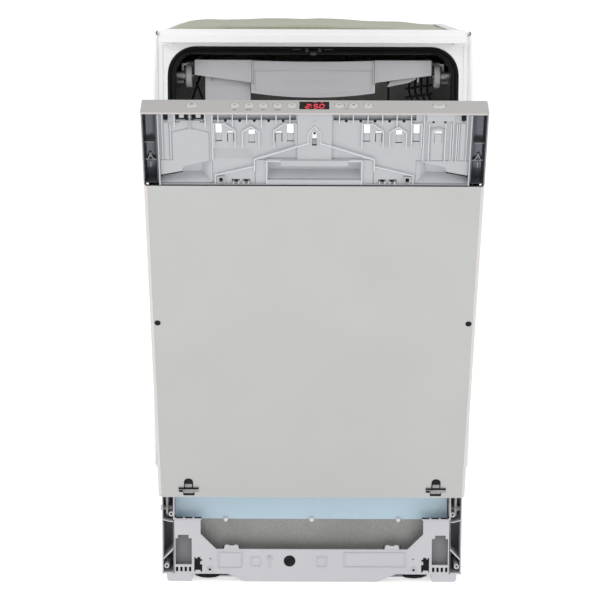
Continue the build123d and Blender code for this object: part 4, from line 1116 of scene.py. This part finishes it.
def buildTopBar():
    piece = bmesh.new()
    profile = [(-222, 813.8), (-222, 815), (-248.2, 815), (-248.9, 814.4), (-248.9, 809), (-250, 808.2),
               (-250, 797), (-249.4, 796.4), (-245, 796.4), (-245, 797.6), (-248.7, 797.6), (-248.7, 807.6),
               (-247.6, 808.6), (-247.6, 813.8)]
    half = top["barHalf"]
    addLoft(piece, [[(x, y, z) for y, z in profile] for x in (-half, -half + 0.5, half - 0.5, half)])
    for x in (-190, 190):
        addLathe(piece, [(2.6, 814.6), (4.4, 814.9), (4.4, 815.3), (2.6, 815.3)], (x, -236), view="plan", sides=24)
    finishPiece(piece, "topBar", "cabinet", ["white_enamel"], cabinetPlace, ["top_bar"])
    piece = bmesh.new()
    opening = [point for point, _ in arch(top["openHalf"], top["openTop"], top["radius"], 142)]
    half = top["frameHalf"]
    addPrism(piece, rect((-half, half), (132.6, 796)), top["flange"], holes=[opening], view="front", round=0.4)
    for side in (-1, 1):
        addBox(piece, across(side, 217, 219), (-226, -190), (132.6, 796), 0.4)
        addBox(piece, across(side, 200, 219), (-238, -226), (792.9, 796), 0.4)
        addBox(piece, across(side, 217, 218.8), (-238, -226), (795, 811), 0.4)
        addBox(piece, across(side, 209.9, 211.6), (-227.2, -225.5), (160, 752), 0.3)
        addBox(piece, across(side, 216.5, 222.2), (-227.4, -226), (132.8, 811), 0.2)
    addBox(piece, (-219, 219), (-217.4, -190), (793.6, 796), 0.4)
    finishPiece(piece, "frontFlange", "cabinet", ["white_enamel"], cabinetPlace, ["front_frame"])


def buildSeal():
    piece = bmesh.new()
    section = [(5.3, -217.4), (5.4, -224.5), (4.4, -227.1), (2.9, -227.3), (2.1, -225.4), (0.4, -224.8),
               (-0.6, -226.2), (-2.4, -226.9), (-4.2, -226), (-5.3, -223.4), (-5.2, -217.4)]
    rings = [[(x + reach * along, y, z + reach * up) for reach, y in section]
             for (x, z), (along, up) in arch(top["sealHalf"], top["sealTop"], top["sealRadius"], 158.2)]
    addLoft(piece, rings)
    finishPiece(piece, "doorSeal", "cabinet", ["seal_rubber"], cabinetPlace, ["door_gasket"])
    piece = bmesh.new()
    addBox(piece, (-4.2, 4.2), (-243, -217.5), (782.2, 783.6), 0.3)
    addBox(piece, (-4.2, 4.2), (-243, -241.4), (778.5, 783.6), 0.3)
    for x in (-9, 9):
        addLathe(piece, [(0, -228.2), (2.4, -228), (2.8, -227.3), (0, -227.3)], (x, 785), view="front", sides=20)
    for x in (-24, 22):
        addBox(piece, (x - 6, x + 6), (-228, -227), (785.6, 787), 0.2)
    finishPiece(piece, "latchStriker", "cabinet", ["lock_plastic"], cabinetPlace, ["latch_striker"])


def buildEdgeStrips():
    # ribbed lip that widens downwards, curled over at its upper end
    piece = bmesh.new()
    for side in (-1, 1):
        levels = [(811, 226.2), (795, 228.4), (730, 230.9), (500, 232.2), (174, 233.8), (168, 229)]
        rings = []
        for z, tip in levels:
            section = [(220.9, -226.4), (tip - 3, -229.6), (tip, -228.4), (tip - 0.4, -226.6), (tip - 3, -227.6),
                       (220.9, -222)]
            rings.append([(side * x, y, z) for x, y in section])
        addLoft(piece, rings)
        for offset in (3.2, 6):
            rings = [[(side * (min(220.6 + offset, tip - 2) + dx), -229.5 + dy + offset * 0.1, z)
                      for dx, dy in ((-0.45, 0.6), (0, -0.3), (0.45, 0.6))] for z, tip in levels[1:-1]]
            addLoft(piece, rings)
        curl = [(side * (222.5 + 3.2 * math.sin(angle)), 809.5 + 2.6 * math.cos(angle)) for angle in
                [math.radians(10 + 26 * step) for step in range(8)]]
        addWall(piece, curl, 1, (-231, -224), view="front", tone=1)
    finishPiece(piece, "edgeStrips", "cabinet", ["lip_rubber", "lock_plastic"], cabinetPlace, ["edge_strips"])


buildTopBar()
buildSeal()
buildEdgeStrips()


# cutlery tray and its rollers

# dots: how many, how far each way, and their level; ribs: first x, pitch, how many, level
tray = {"front": -205, "half": 172, "high": 769.5, "centre": 90, "thick": 2, "floor": 741, "back": 165,
        "deepBox": (-157, -91), "wire": 0.0016, "dots": (19, 38, 739), "wingRibs": (66, 8.5, 12, 744.8),
        "floorRibs": (-50, 10, 11, 741.8)}
# outer and inner face, radius, and the (y, z) of the axle
rollers = {"tray_rollers": (185.2, 176.5, 17, (-185, 746)), "upper_rollers": (195.2, 186.5, 14, (-185, 591.7)),
           "lower_front_wheels": (196, 186, 16, (-150, 195.2)), "lower_rear_wheels": (196, 186, 16, (120, 195.2))}


def trayFoot(x):
    # lower edge of the tray's front: a shallow bow in the middle, rising wings at the sides
    if abs(x) <= tray["centre"]:
        return 716 + 6.5 * (x / tray["centre"]) ** 2
    return 737.5 + 10.5 * (abs(x) - tray["centre"]) / (tray["half"] - tray["centre"])


def traySection(x, foot, high, sweep):
    front, thick = tray["front"] + sweep, tray["thick"]
    return [(x, front, foot + 0.6), (x, front + 0.5, foot), (x, front + thick, foot), (x, front + thick, high),
            (x, front + 0.6, high), (x, front, high - 0.7)]


def buildTray():
    piece = bmesh.new()
    centre, half, high, floor = tray["centre"], tray["half"], tray["high"], tray["floor"]
    front, back = tray["front"], tray["back"]
    rows = []
    for step in range(25):
        x = centre * (step / 12 - 1)
        rows.append(traySection(x, trayFoot(x), high - 1.6 * (1 - (x / centre) ** 2),
                                0.2 + 2.2 * (x / centre) ** 2))
    addLoft(piece, rows)
    lip = []
    for step in range(25):
        x = centre * (step / 12 - 1)
        y, z = front + 2.2 * (x / centre) ** 2, trayFoot(x)
        lip.append([(x, y - 0.9, z + 0.2), (x, y + 2 - 0.9, z + 0.2), (x, y + 2 - 0.9, z + 4.2),
                    (x, y - 0.9, z + 4.2)])
    addLoft(piece, lip)
    for side in (-1, 1):
        rows = []
        for step in range(13):
            x = centre + 0.5 + (half - centre - 0.5) * step / 12
            bend = 4.5 * (step / 12) ** 3
            rows.append(traySection(side * x, trayFoot(x), high + 0.6, 1.6 + bend))
        addLoft(piece, rows)
        addBox(piece, across(side, centre - 3.4, centre - 1.6), (front + 0.4, front + 3), (734, high), 0.4)
        addBox(piece, across(side, centre - 0.6, centre + 1.8), (front + 0.6, front + 4), (737, high + 0.8), 0.4)
        addBox(piece, across(side, centre - 6, centre - 4.6), (front + 1.2, front + 3), (722, 755), 0.3)
        addBox(piece, across(side, half - 2, half), (-199, back), (748.6, high + 0.6), 0.5)
        addBox(piece, across(side, half - 1, 187), (-160, back), (763.4, 765.2), 0.4)
        addBox(piece, across(side, 56.5, 58.5), (-202, back), (719, 760), 0.4)
        addBox(piece, across(side, 58, half - 1), (-198, back), (749.4, 751))
    addBox(piece, (-57, 57), (-202, back), (floor - 1, floor + 1))
    addBox(piece, (-half, half), (back - 2, back), (742, high), 0.5)
    addBox(piece, (-82, 82), (front - 0.25, front + 0.6), (754.2, 755))
    # deeper left compartment, with its seam, and the flap on the right
    left, right = tray["deepBox"]
    addBox(piece, (left, right), (-192.4, -190.4), (711, 749), 0.4)
    addBox(piece, (left, right), (-193.2, -192), (732.4, 733.4))
    addBox(piece, (left, left + 2), (-191, 60), (711, 749), 0.4)
    addBox(piece, (-150, -148.6), (-199, -192), (738, 748), 0.3)
    addPrism(piece, [(108, 731), (112, 739), (150, 745), (150, 742), (138, 737)], (-194, -192.4), view="front",
             round=0.3)
    addBox(piece, (152, 153.4), (-199, -192), (738, 747), 0.3)
    finishPiece(piece, "cutleryTray", "cutlery_tray", ["tray_plastic"], cabinetPlace, ["cutlery_tray"])


def buildTrayDetails():
    # dark wire supports under both wings, a row of dots on the front and ribs on the floors
    runs = [[(x, -160, 748), (x, -160, 722), (x + 6, -172, 707)] for x in (142, 151, 160, 169)]
    runs += [[(136, -166, z), (176, -166, z + 6)] for z in (714, 727)] + [[(112, -150, 746), (112, -150, 706)]]
    runs += [[(-172, -166, 736), (-160, -168, 706)], [(-166, -160, 746), (-178, -168, 708)]]
    wirePiece(runs, tray["wire"], 8, "trayWires", "cutlery_tray", "seal_rubber", cabinetPlace)
    dot = bmesh.new()
    addLathe(dot, [(0, -0.9), (0.55, -0.6), (0.6, 0.4), (0, 0.4)], (0, 0), view="front", sides=8)
    count, reach, level = tray["dots"]
    places = [(-reach + 2 * reach * index / (count - 1), tray["front"] + 0.1, level) for index in range(count)]
    repeatPiece(dot, places, "trayDots", "cutlery_tray", "tray_plastic", cabinetPlace)
    rib = bmesh.new()
    addBox(rib, (-0.6, 0.6), (-170, 160), (0, 9), 0.2)
    first, pitch, count, level = tray["wingRibs"]
    places = [(side * (first + pitch * index), 0, level) for index in range(count) for side in (-1, 1)]
    first, pitch, count, level = tray["floorRibs"]
    places += [(first + pitch * index, 0, level) for index in range(count)]
    repeatPiece(rib, places, "traySlats", "cutlery_tray", "tray_plastic", cabinetPlace)


def buildRollers():
    # tyre, hub cap, shallow web and five spokes
    for name, (outer, inner, radius, axle) in rollers.items():
        piece = bmesh.new()
        for side in (-1, 1):
            near, far = side * outer, side * inner
            middle, lean = (near + far) / 2, (far - near) * 0.12
            tyre = [(radius - 3, near + lean), (radius - 1.2, near), (radius - 0.2, near + lean), (radius, middle),
                    (radius - 0.2, far - lean), (radius - 1.2, far), (radius - 3, far - lean)]
            hub = [(4.1, near + lean), (6, near + lean), (6.4, near + 2 * lean), (6.4, far - 2 * lean),
                   (6, far - lean), (4.1, far - lean)]
            addLathe(piece, tyre, axle, view="side", sides=40)
            addLathe(piece, hub, axle, view="side", sides=24)
            addPrism(piece, circle(*axle, radius - 2.4, 40), (middle - 0.8, middle + 0.8),
                     holes=[circle(*axle, 5.8, 24)], view="side")
            depth = tuple(sorted((near + 2 * lean, far - 2 * lean)))
            for spoke in range(5):
                angle = math.tau * spoke / 5
                line = [onCircle(axle, 5.6, angle), onCircle(axle, radius - 2.4, angle)]
                addWall(piece, line, 1.4, depth, view="side", round=0.2)
        finishPiece(piece, name + "Pair", name, ["wheel_plastic"], cabinetPlace, [name])


buildTray()
buildTrayDetails()
buildRollers()


# felt mat on the tub's top

# peak is where the crown is highest, and the falls are how gently it drops to the left and the right of it
mat = {"half": 212, "front": -185, "back": 261, "low": 796, "side": 810.5, "crown": 10.5, "peak": -0.15,
       "leftFall": 1.3, "rightFall": 1.15, "lump": 0.7, "edgeDrop": 3, "grid": (68, 74)}


def matPoint(u, v, layer):
    # u and v run from -1 to 1 over the mat; layer 0 is the flat underside, 1 the crowned top
    x = mat["half"] * u
    y = (mat["front"] + mat["back"]) / 2 + (mat["back"] - mat["front"]) / 2 * v
    if layer == 0:
        return x, y, mat["low"]
    fall = mat["rightFall"] if u > mat["peak"] else mat["leftFall"]
    lean = (u - mat["peak"]) / fall
    high = mat["side"] + mat["crown"] * (1 - lean * lean)
    edge = max(abs(u) ** 26, abs(v) ** 40)
    lump = mat["lump"] * (math.sin(x / 17 + y / 41) + math.sin(y / 13 - x / 29 + 2) * 0.6
                          + math.sin(x / 7.3) * 0.25)
    return x, y, high - mat["edgeDrop"] * edge + lump * (1 - edge) - mat["lump"]


def buildMat():
    piece = bmesh.new()
    wide, long = mat["grid"]
    grid = {(layer, i, j): piece.verts.new(matPoint(i / wide * 2 - 1, j / long * 2 - 1, layer))
            for layer in (0, 1) for i in range(wide + 1) for j in range(long + 1)}
    for layer in (0, 1):
        for i in range(wide):
            for j in range(long):
                corners = ((i, j), (i + 1, j), (i + 1, j + 1), (i, j + 1))
                piece.faces.new([grid[layer, *corner] for corner in corners])
    rim = [(i, 0) for i in range(wide)] + [(wide, j) for j in range(long)]
    rim += [(i, long) for i in range(wide, 0, -1)] + [(0, j) for j in range(long, 0, -1)]
    for first, second in zip(rim, rim[1:] + rim[:1]):
        piece.faces.new([grid[0, *first], grid[0, *second], grid[1, *second], grid[1, *first]])
    bmesh.ops.recalc_face_normals(piece, faces=piece.faces)
    thing = finishPiece(piece, "soundMat", "cabinet", ["felt"], cabinetPlace, ["top_mat"])


buildMat()


# door skin, inner liner and dispenser: rise and out on the leaning door

door = {"low": 49.5, "high": 576, "out": 35, "bevel": 31, "half": 223, "sheet": 1.2, "linerLow": 28,
        "linerHigh": 676, "notch": (13, 660)}


def buildDoorSkin():
    piece = bmesh.new()
    half, out, bevel, sheet = door["half"], door["out"], door["bevel"], door["sheet"]
    outline = [(-half, 6), (-half, bevel), (-218, out), (218, out), (half, bevel), (half, 6),
               (half - sheet, 6), (half - sheet, bevel - 0.6), (217.5, out - sheet), (-217.5, out - sheet),
               (sheet - half, bevel - 0.6), (sheet - half, 6)]
    addPrism(piece, outline, (door["low"], door["high"]), view="front")
    addBox(piece, (-221, 221), (door["low"], door["low"] + sheet), (12, 33.8), 0.2)
    # painted highlight: a lighter strip laid over each bent edge of the door
    for side in (-1, 1):
        line = [(side * 218.3, out - 0.12), (side * 222.8, bevel + 0.06)]
        addWall(piece, line, 0.5, (door["low"] + 0.6, door["high"] - 0.4), view="front", tone=1)
    finishPiece(piece, "doorSkin", "door", ["door_skin", "door_edge_highlight"], doorPlace, ["door_panel"])


def buildLiner():
    piece = bmesh.new()
    low, high = door["linerLow"], door["linerHigh"]
    rim = roundRect((-217.8, 217.8), (low + 1.2, high - 1.2), 8)
    base = roundRect((-212, 212), (low + 7, high - 4), 22)
    # notch that the striker enters, between the two upper corners of seven points each
    reach, foot = door["notch"]
    for loop, top in ((rim, high - 1.2), (base, high - 4)):
        loop[7:7] = [(reach, top), (reach, foot), (-reach, foot), (-reach, top)]
    addBasin(piece, rim, base, (5.5, -9), wall=1.2)
    for offset, width in ((0, 3.4), (16, 2.4)):
        ring = roundRect((-190 + offset, 190 - offset), (low + 40 + offset, high - 44 - offset), 26)
        addWall(piece, ring + ring[:1], width, (-11.6, -9.6), round=0.8)
    for side in (-1, 1):
        for level in (130, 420, 520):
            ridge = roundRect(across(side, 96, 150), (level, level + 62), 9)
            addWall(piece, ridge + ridge[:1], 3, (-11.4, -9.6), round=0.8)
        for level in (60, 300, 610):
            addLathe(piece, [(0, -11.4), (1.6, -11.4), (3.4, -10.8), (3.8, -9.8), (0, -9.8)], (side * 203, level),
                     sides=20, tone=1)
    finishPiece(piece, "doorLiner", "door", ["polished_steel", "black_screw"], doorPlace, ["door_liner"])


dispenser = {"cap": (55, 300), "bore": 12.2, "notches": 24, "notchRing": 15.2}


def buildDispenser():
    piece = bmesh.new()
    cap = dispenser["cap"]
    frameHole = roundRect((-60, 0), (250, 330), 6)
    holes = [frameHole, circle(*cap, dispenser["bore"], 40)]
    addPrism(piece, roundRect((-70, 90), (235, 355), 14), (-12.8, -10.4), holes=holes, round=0.5)
    addPrism(piece, roundRect((-68, 88), (237, 353), 12), (-10.4, 13.6), holes=holes, round=0.6)
    addPrism(piece, roundRect((-64, 4), (246, 334), 8), (-12.9, -12.6), holes=[frameHole])
    addBasin(piece, frameHole, roundRect((-58, -2), (252, 328), 6), (-12.6, 9), wall=0.6)
    addPrism(piece, roundRect((22, 34), (262, 274), 3), (-12.95, -12.7), tone=1)
    for level in (244, 346):
        addWall(piece, [(10, level), (84, level)], 1.6, (-13.3, -12.6), round=0.4)
    finishPiece(piece, "dispenserBody", "door", ["dispenser_plastic", "display_black"], doorPlace,
                ["dispenser_body"])
    piece = bmesh.new()
    addPrism(piece, roundRect((-63, 3), (247, 333), 8), (-15.1, -13.1), round=0.7)
    addWall(piece, [(-45, 262), (-45, 318), (-15, 318), (-15, 262), (-45, 262)], 1.6, (-15.7, -15), round=0.4)
    addPrism(piece, roundRect((-40, -20), (250, 254), 1.4), (-16.9, -15), round=0.6)
    for x in (-34, -30, -26):
        addWall(piece, [(x, 270), (x, 310)], 1.6, (-15.6, -15), round=0.4)
    finishPiece(piece, "dispenserLid", "dispenser_lid", ["dispenser_plastic"], doorPlace, ["dispenser_lid"])
    piece = bmesh.new()
    profile = [(0, -15.3), (13.4, -15.3), (15.6, -14.8), (15.9, -14), (15.9, -13.1), (11.8, -13.1), (11.8, -2.2),
               (9.8, -2.2), (9.8, -12), (0, -12)]
    addLathe(piece, profile, cap, sides=48)
    addPrism(piece, roundRect((52.5, 57.5), (286.2, 313.8), 2.2), (-18.4, -15), round=0.7)
    addPrism(piece, [(53.4, 314.4), (56.6, 314.4), (55, 316)], (-15.6, -15.1))
    finishPiece(piece, "rinseAidCap", "rinse_aid_cap", ["cap_blue"], doorPlace, ["rinse_aid_cap"])
    notch = bmesh.new()
    addPrism(notch, [(-0.7, 0), (0.7, 0), (0.5, 0.9), (-0.5, 0.9)], (-15, -13.2))
    count = dispenser["notches"]
    places = [(*onCircle(cap, dispenser["notchRing"], math.tau * index / count), 0) for index in range(count)]
    repeatPiece(notch, places, "capKnurl", "rinse_aid_cap", "cap_blue", doorPlace)


buildDoorSkin()
buildLiner()
buildDispenser()


# wire racks, spray arms and caps inside the tub

racks = {"back": 165, "wire": 0.00175, "thin": 0.0014, "bend": 16, "cross": 6, "along": 8,
         "pinRows": (-104, -34, 34, 104), "pinsInRow": 11,
         "lower": {"front": -190, "floor": 217, "rim": 398, "half": 178, "pins": 46},
         "upper": {"front": -195, "floor": 502, "rim": 690, "half": 176, "pins": 40}}


def spread(low, high, count):
    return [low + (high - low) * index / (count - 1) for index in range(count)]


def hoop(half, floor, rim, bend, place):
    # wire that runs down one side, across the floor and up the other
    flat = [(-half, rim), (-half, floor + bend)]
    flat += [(-half + bend - bend * math.cos(angle), floor + bend - bend * math.sin(angle))
             for angle in (0.4, 0.8, 1.2, 1.57)]
    return [place(u, v) for u, v in flat + [(-u, v) for u, v in flat[::-1]]]


def ring(x, y, z, radius):
    corners = [(u, v, z) for u, v in roundRect(x, y, radius, 4)]
    return corners + corners[:1]


def buildRack(key, name, extras):
    size = racks[key]
    front, floor, rim, half, back = size["front"], size["floor"], size["rim"], size["half"], racks["back"]
    middle = (front + back) / 2
    reach = (back - front) / 2 - 3.6
    wide, deep = (-half + 1.8, half - 1.8), (front + 1.8, back - 1.8)
    runs = [ring(wide, deep, z, 22) for z in (rim - 1.8, (floor + rim) / 2)]
    for y in spread(front + 24, back - 24, racks["cross"]):
        runs.append(hoop(half - 3.6, floor - 3.6, rim - 3, racks["bend"], lambda u, v, y=y: (u, y, v)))
    for x in spread(-half + 26, half - 26, racks["along"]):
        runs.append(hoop(reach, floor, rim - 3, racks["bend"], lambda u, v, x=x: (x, middle + u, v)))
    wirePiece(runs, racks["wire"], 8, name + "Wires", name, "rack_wire", cabinetPlace)
    # folding pins: four rows of upright tines, each on its own wire
    runs = []
    for x in racks["pinRows"]:
        runs.append([(x, front + 34, floor + 3.2), (x, back - 34, floor + 3.2)])
        for y in spread(front + 46, back - 46, racks["pinsInRow"]):
            tip = floor + size["pins"]
            runs.append([(x, y, floor + 3), (x + 2, y, floor + size["pins"] - 8), (x + 2, y + 3, tip)])
    wirePiece(runs, racks["thin"], 6, name + "Pins", name, "rack_wire", cabinetPlace)
    piece = bmesh.new()
    extras(piece, size)
    finishPiece(piece, name + "Fittings", name, ["tray_plastic"], cabinetPlace, [name])


def rackGrip(piece, front, low, high):
    addPrism(piece, roundRect((-60, 60), (low, high), 8), (front - 6, front - 1.9),
             holes=[roundRect((-46, 46), (low + 7, high - 8), 5)], view="front", round=0.8)


def lowerExtras(piece, size):
    rackGrip(piece, size["front"], 350, 380)
    for side in (-1, 1):
        for y in (-150, 120):
            plate = [(y - 9, 206), (y - 9, 300), (y - 4, 311), (y + 4, 311), (y + 9, 300), (y + 9, 206),
                     (y + 5, 189), (y - 5, 189)]
            addPrism(piece, plate, across(side, 179.9, 183.6), view="side", round=0.8)
            addLathe(piece, [(0, side * 183), (2.9, side * 183), (2.9, side * 196.6), (0, side * 196.8)],
                     (y, 195.2), view="side", sides=20)


def upperExtras(piece, size):
    rackGrip(piece, size["front"], 640, 668)
    for side in (-1, 1):
        addBox(piece, across(side, 186.5, 190.5), (size["front"], racks["back"]), (606, 611), 0.8)
        for y in (-175, 0, 145):
            addBox(piece, across(side, 177.9, 190.5), (y - 6, y + 6), (611, 622), 0.8)
    addLathe(piece, [(0, 486), (13.6, 486), (13.9, 488), (13.9, 494.6), (11, 496), (0, 496)], (0, -12),
             view="plan", sides=32)
    addBox(piece, (-10, 10), (-11, racks["back"]), (487.2, 495.8), 2)
    # cup shelf along the left, with its raised front
    addPrism(piece, roundRect((-157, -92), (-172, -12), 8), (687.4, 689.8), view="plan", round=0.6)
    addPrism(piece, roundRect((-157, -92), (687, 689.9), 1.2), (-193, -191), view="front", round=0.3)


buildRack("lower", "lower_basket", lowerExtras)
buildRack("upper", "upper_basket", upperExtras)


# half length, y of the axle, blade width, blade levels, hub levels and hub radius
arms = {"lower_spray_arm": (165, 20, 15, (174, 182), (169, 182), 18),
        "upper_spray_arm": (158, -12, 14, (474, 482), (474, 485.6), 16)}
jets = {"first": 34, "pitch": 21, "pairs": 6}


def buildSprayArms():
    for name, (half, y, wide, (low, high), (foot, top), hub) in arms.items():
        piece = bmesh.new()
        blade = []
        for step in range(25):
            x = half * (step / 12 - 1)
            bow = wide * (0.55 + 0.45 * math.cos(x / half * 1.35)) * min(1, (1 - abs(x) / half) * 9 + 0.35)
            blade.append((x, y + 3.2 * math.sin(x / half * 2.4), min(bow, wide - 3.2)))
        # section of the blade: how far across, as a share of its reach, and the level
        section = [(-1, low + 2.4), (-0.7, low), (0.7, low), (1, low + 2.4), (0.8, high - 1.4), (0.35, high),
                   (-0.35, high), (-0.8, high - 1.4)]
        addLoft(piece, [[(x, mid + reach * share, level) for share, level in section] for x, mid, reach in blade])
        collar = [(6.4, foot), (hub - 1.6, foot), (hub, foot + 1.6), (hub, top - 2), (hub - 2, top), (6.4, top)]
        addLathe(piece, collar, (0, y), view="plan", sides=40)
        finishPiece(piece, name + "Blade", name, ["spray_plastic"], cabinetPlace, [name])
        jet = bmesh.new()
        addLathe(jet, [(1.2, -0.6), (3, -0.6), (3, 0.1), (2.4, 0.5), (1.2, 0.5)], (0, 0), view="plan", sides=14)
        stations = [side * (jets["first"] + jets["pitch"] * index)
                    for index in range(jets["pairs"]) for side in (-1, 1)]
        places = [(x, y + 3.2 * math.sin(x / half * 2.4), high - 0.4) for x in stations]
        repeatPiece(jet, places, name + "Jets", name, "spray_plastic", cabinetPlace)


def buildCaps():
    piece = bmesh.new()
    profile = [(0, 162), (19, 162), (25.4, 161.2), (26.8, 159.6), (26.9, 154.4), (21.8, 154.4), (21.8, 142.2),
               (19, 142.2), (19, 156), (0, 156)]
    addLathe(piece, profile, (-140, -95), view="plan", sides=56)
    addBox(piece, (-160, -120), (-98, -92), (161, 166.8), 1.2)
    addLathe(piece, [(21, 161.4), (23, 161.4), (22.6, 162.8), (21.4, 162.8)], (-140, -95), view="plan", sides=40)
    finishPiece(piece, "saltCap", "salt_cap", ["dispenser_plastic"], cabinetPlace, ["salt_cap"])


buildSprayArms()
buildCaps()


# cabinet sides, back and base pan

# side and rear screws as (y, z) and (x, z), and the pressed panels as (from, to) pairs
shell = {"in": 219.4, "out": 220.5, "front": -226, "back": 273, "low": 132.2, "high": 811, "vents": 9,
         "ventPitch": 12, "sideScrews": ((-205, 160), (-205, 780), (250, 160), (250, 780), (30, 790)),
         "rearScrews": [(x, z) for x in (-205, 205) for z in (150, 470, 795)],
         "sidePress": ((-150, 220), (230, 700)), "rearPress": ((-180, 180), (360, 740)), "flange": (809.4, 811)}


def buildShell():
    piece = bmesh.new()
    upright, front, back = (shell["low"], shell["high"]), shell["front"], shell["back"]
    for side in (-1, 1):
        far = side * shell["out"]
        addBox(piece, across(side, shell["in"], shell["out"]), (front, back), upright, 0.2)
        addBox(piece, across(side, 219.35, 219.9), (front, front + 6), upright)
        for y, z in shell["sideScrews"]:
            head = [(0, far), (4, far), (4.1, far + side * 0.5), (3, far + side * 1.1), (0, far + side * 1.2)]
            addLathe(piece, head, (y, z), view="side", sides=20, tone=1)
        addBox(piece, across(side, 207, 220.3), (-222, back), shell["flange"], 0.2, tone=2)
        frame = roundRect(*shell["sidePress"], 30)
        addWall(piece, frame + frame[:1], 5, tuple(sorted((far - side * 0.3, far + side * 0.5))), view="side",
                round=0.2)
    # the sides and the back take the lighter painted-light copy of the zinc steel
    slots = ["side_steel_lit", "black_screw", "white_enamel"]
    finishPiece(piece, "sidePanels", "cabinet", slots, cabinetPlace, ["side_panels"])
    piece = bmesh.new()
    rows = [shell["ventPitch"] * row for row in range(shell["vents"])]
    vents = [roundRect((-60, 60), (200.2 + rise, 204.8 + rise), 2.2, 4) for rise in rows]
    addPrism(piece, rect((-219, 219), upright), (271.8, back), holes=vents, view="front")
    addBox(piece, (-218, 218), (262, 272.6), shell["flange"], 0.2, tone=2)
    frame = roundRect(*shell["rearPress"], 30)
    addWall(piece, frame + frame[:1], 6, (272.6, 273.6), view="front", round=0.3)
    for place in shell["rearScrews"]:
        addLathe(piece, [(0, 272.8), (4, 272.8), (4.1, 273.6), (3, 274.2), (0, 274.3)], place, view="front",
                 sides=20, tone=1)
    finishPiece(piece, "rearPanel", "cabinet", slots, cabinetPlace, ["rear_panel"])


buildShell()


def buildPan():
    # floor tray of the base with its side and rear walls, foot bosses and spindle bearing
    piece = bmesh.new()
    addBox(piece, (-217, 217), (-196, 274.6), (0.4, 3), 0.3)
    addBox(piece, (-172, 172), (-229, -196), (0.4, 3), 0.3)
    for side in (-1, 1):
        addBox(piece, across(side, 217.2, 219.8), (-199, 274.8), (0.4, 131.4), 0.5)
        addBox(piece, across(side, 219.4, 220.3), (-190, 262), (20, 24), 0.3)
        addBox(piece, across(side, 219.4, 220.3), (-190, 262), (112, 116), 0.3)
    openings = [roundRect((-190, -60), (60, 120), 8), circle(120, 60, 22, 40)]
    addPrism(piece, rect((-217.4, 217.4), (3, 131.4)), (272.4, 274.8), holes=openings, view="front", round=0.3)
    for x in (-120, 0, 120):
        addBox(piece, (x - 2, x + 2), (-190, 250), (3, 11), 0.6)
    for centre in foot["places"].values():
        addLathe(piece, [(6.1, 13), (10.4, 13), (10.4, 73.2), (9.6, 74), (6.1, 74)], centre, view="plan", sides=32)
        addLathe(piece, [(7, 12.4), (26, 12.4), (26, 13.8), (7, 13.8)], centre, view="plan", sides=40)
        for index in range(4):
            x, y = onCircle(centre, 16, math.tau * index / 4 + 0.78)
            addBox(piece, (x - 3, x + 3), (y - 3, y + 3), (13, 40), 0.8)
    bearing = [(-46, 3), (-46, 36), (-38, 46), (-26, 46), (-18, 36), (-18, 3)]
    addPrism(piece, bearing, (188, 201), holes=[circle(*plinth["spindle"], 5.2, 24)], view="front", round=0.6)
    finishPiece(piece, "basePan", "cabinet", ["base_plastic"], cabinetPlace, ["base_pan"])


buildPan()


buildCamera()
buildDome()
buildLamps()
buildFloor()
print("camera, light and floor made")
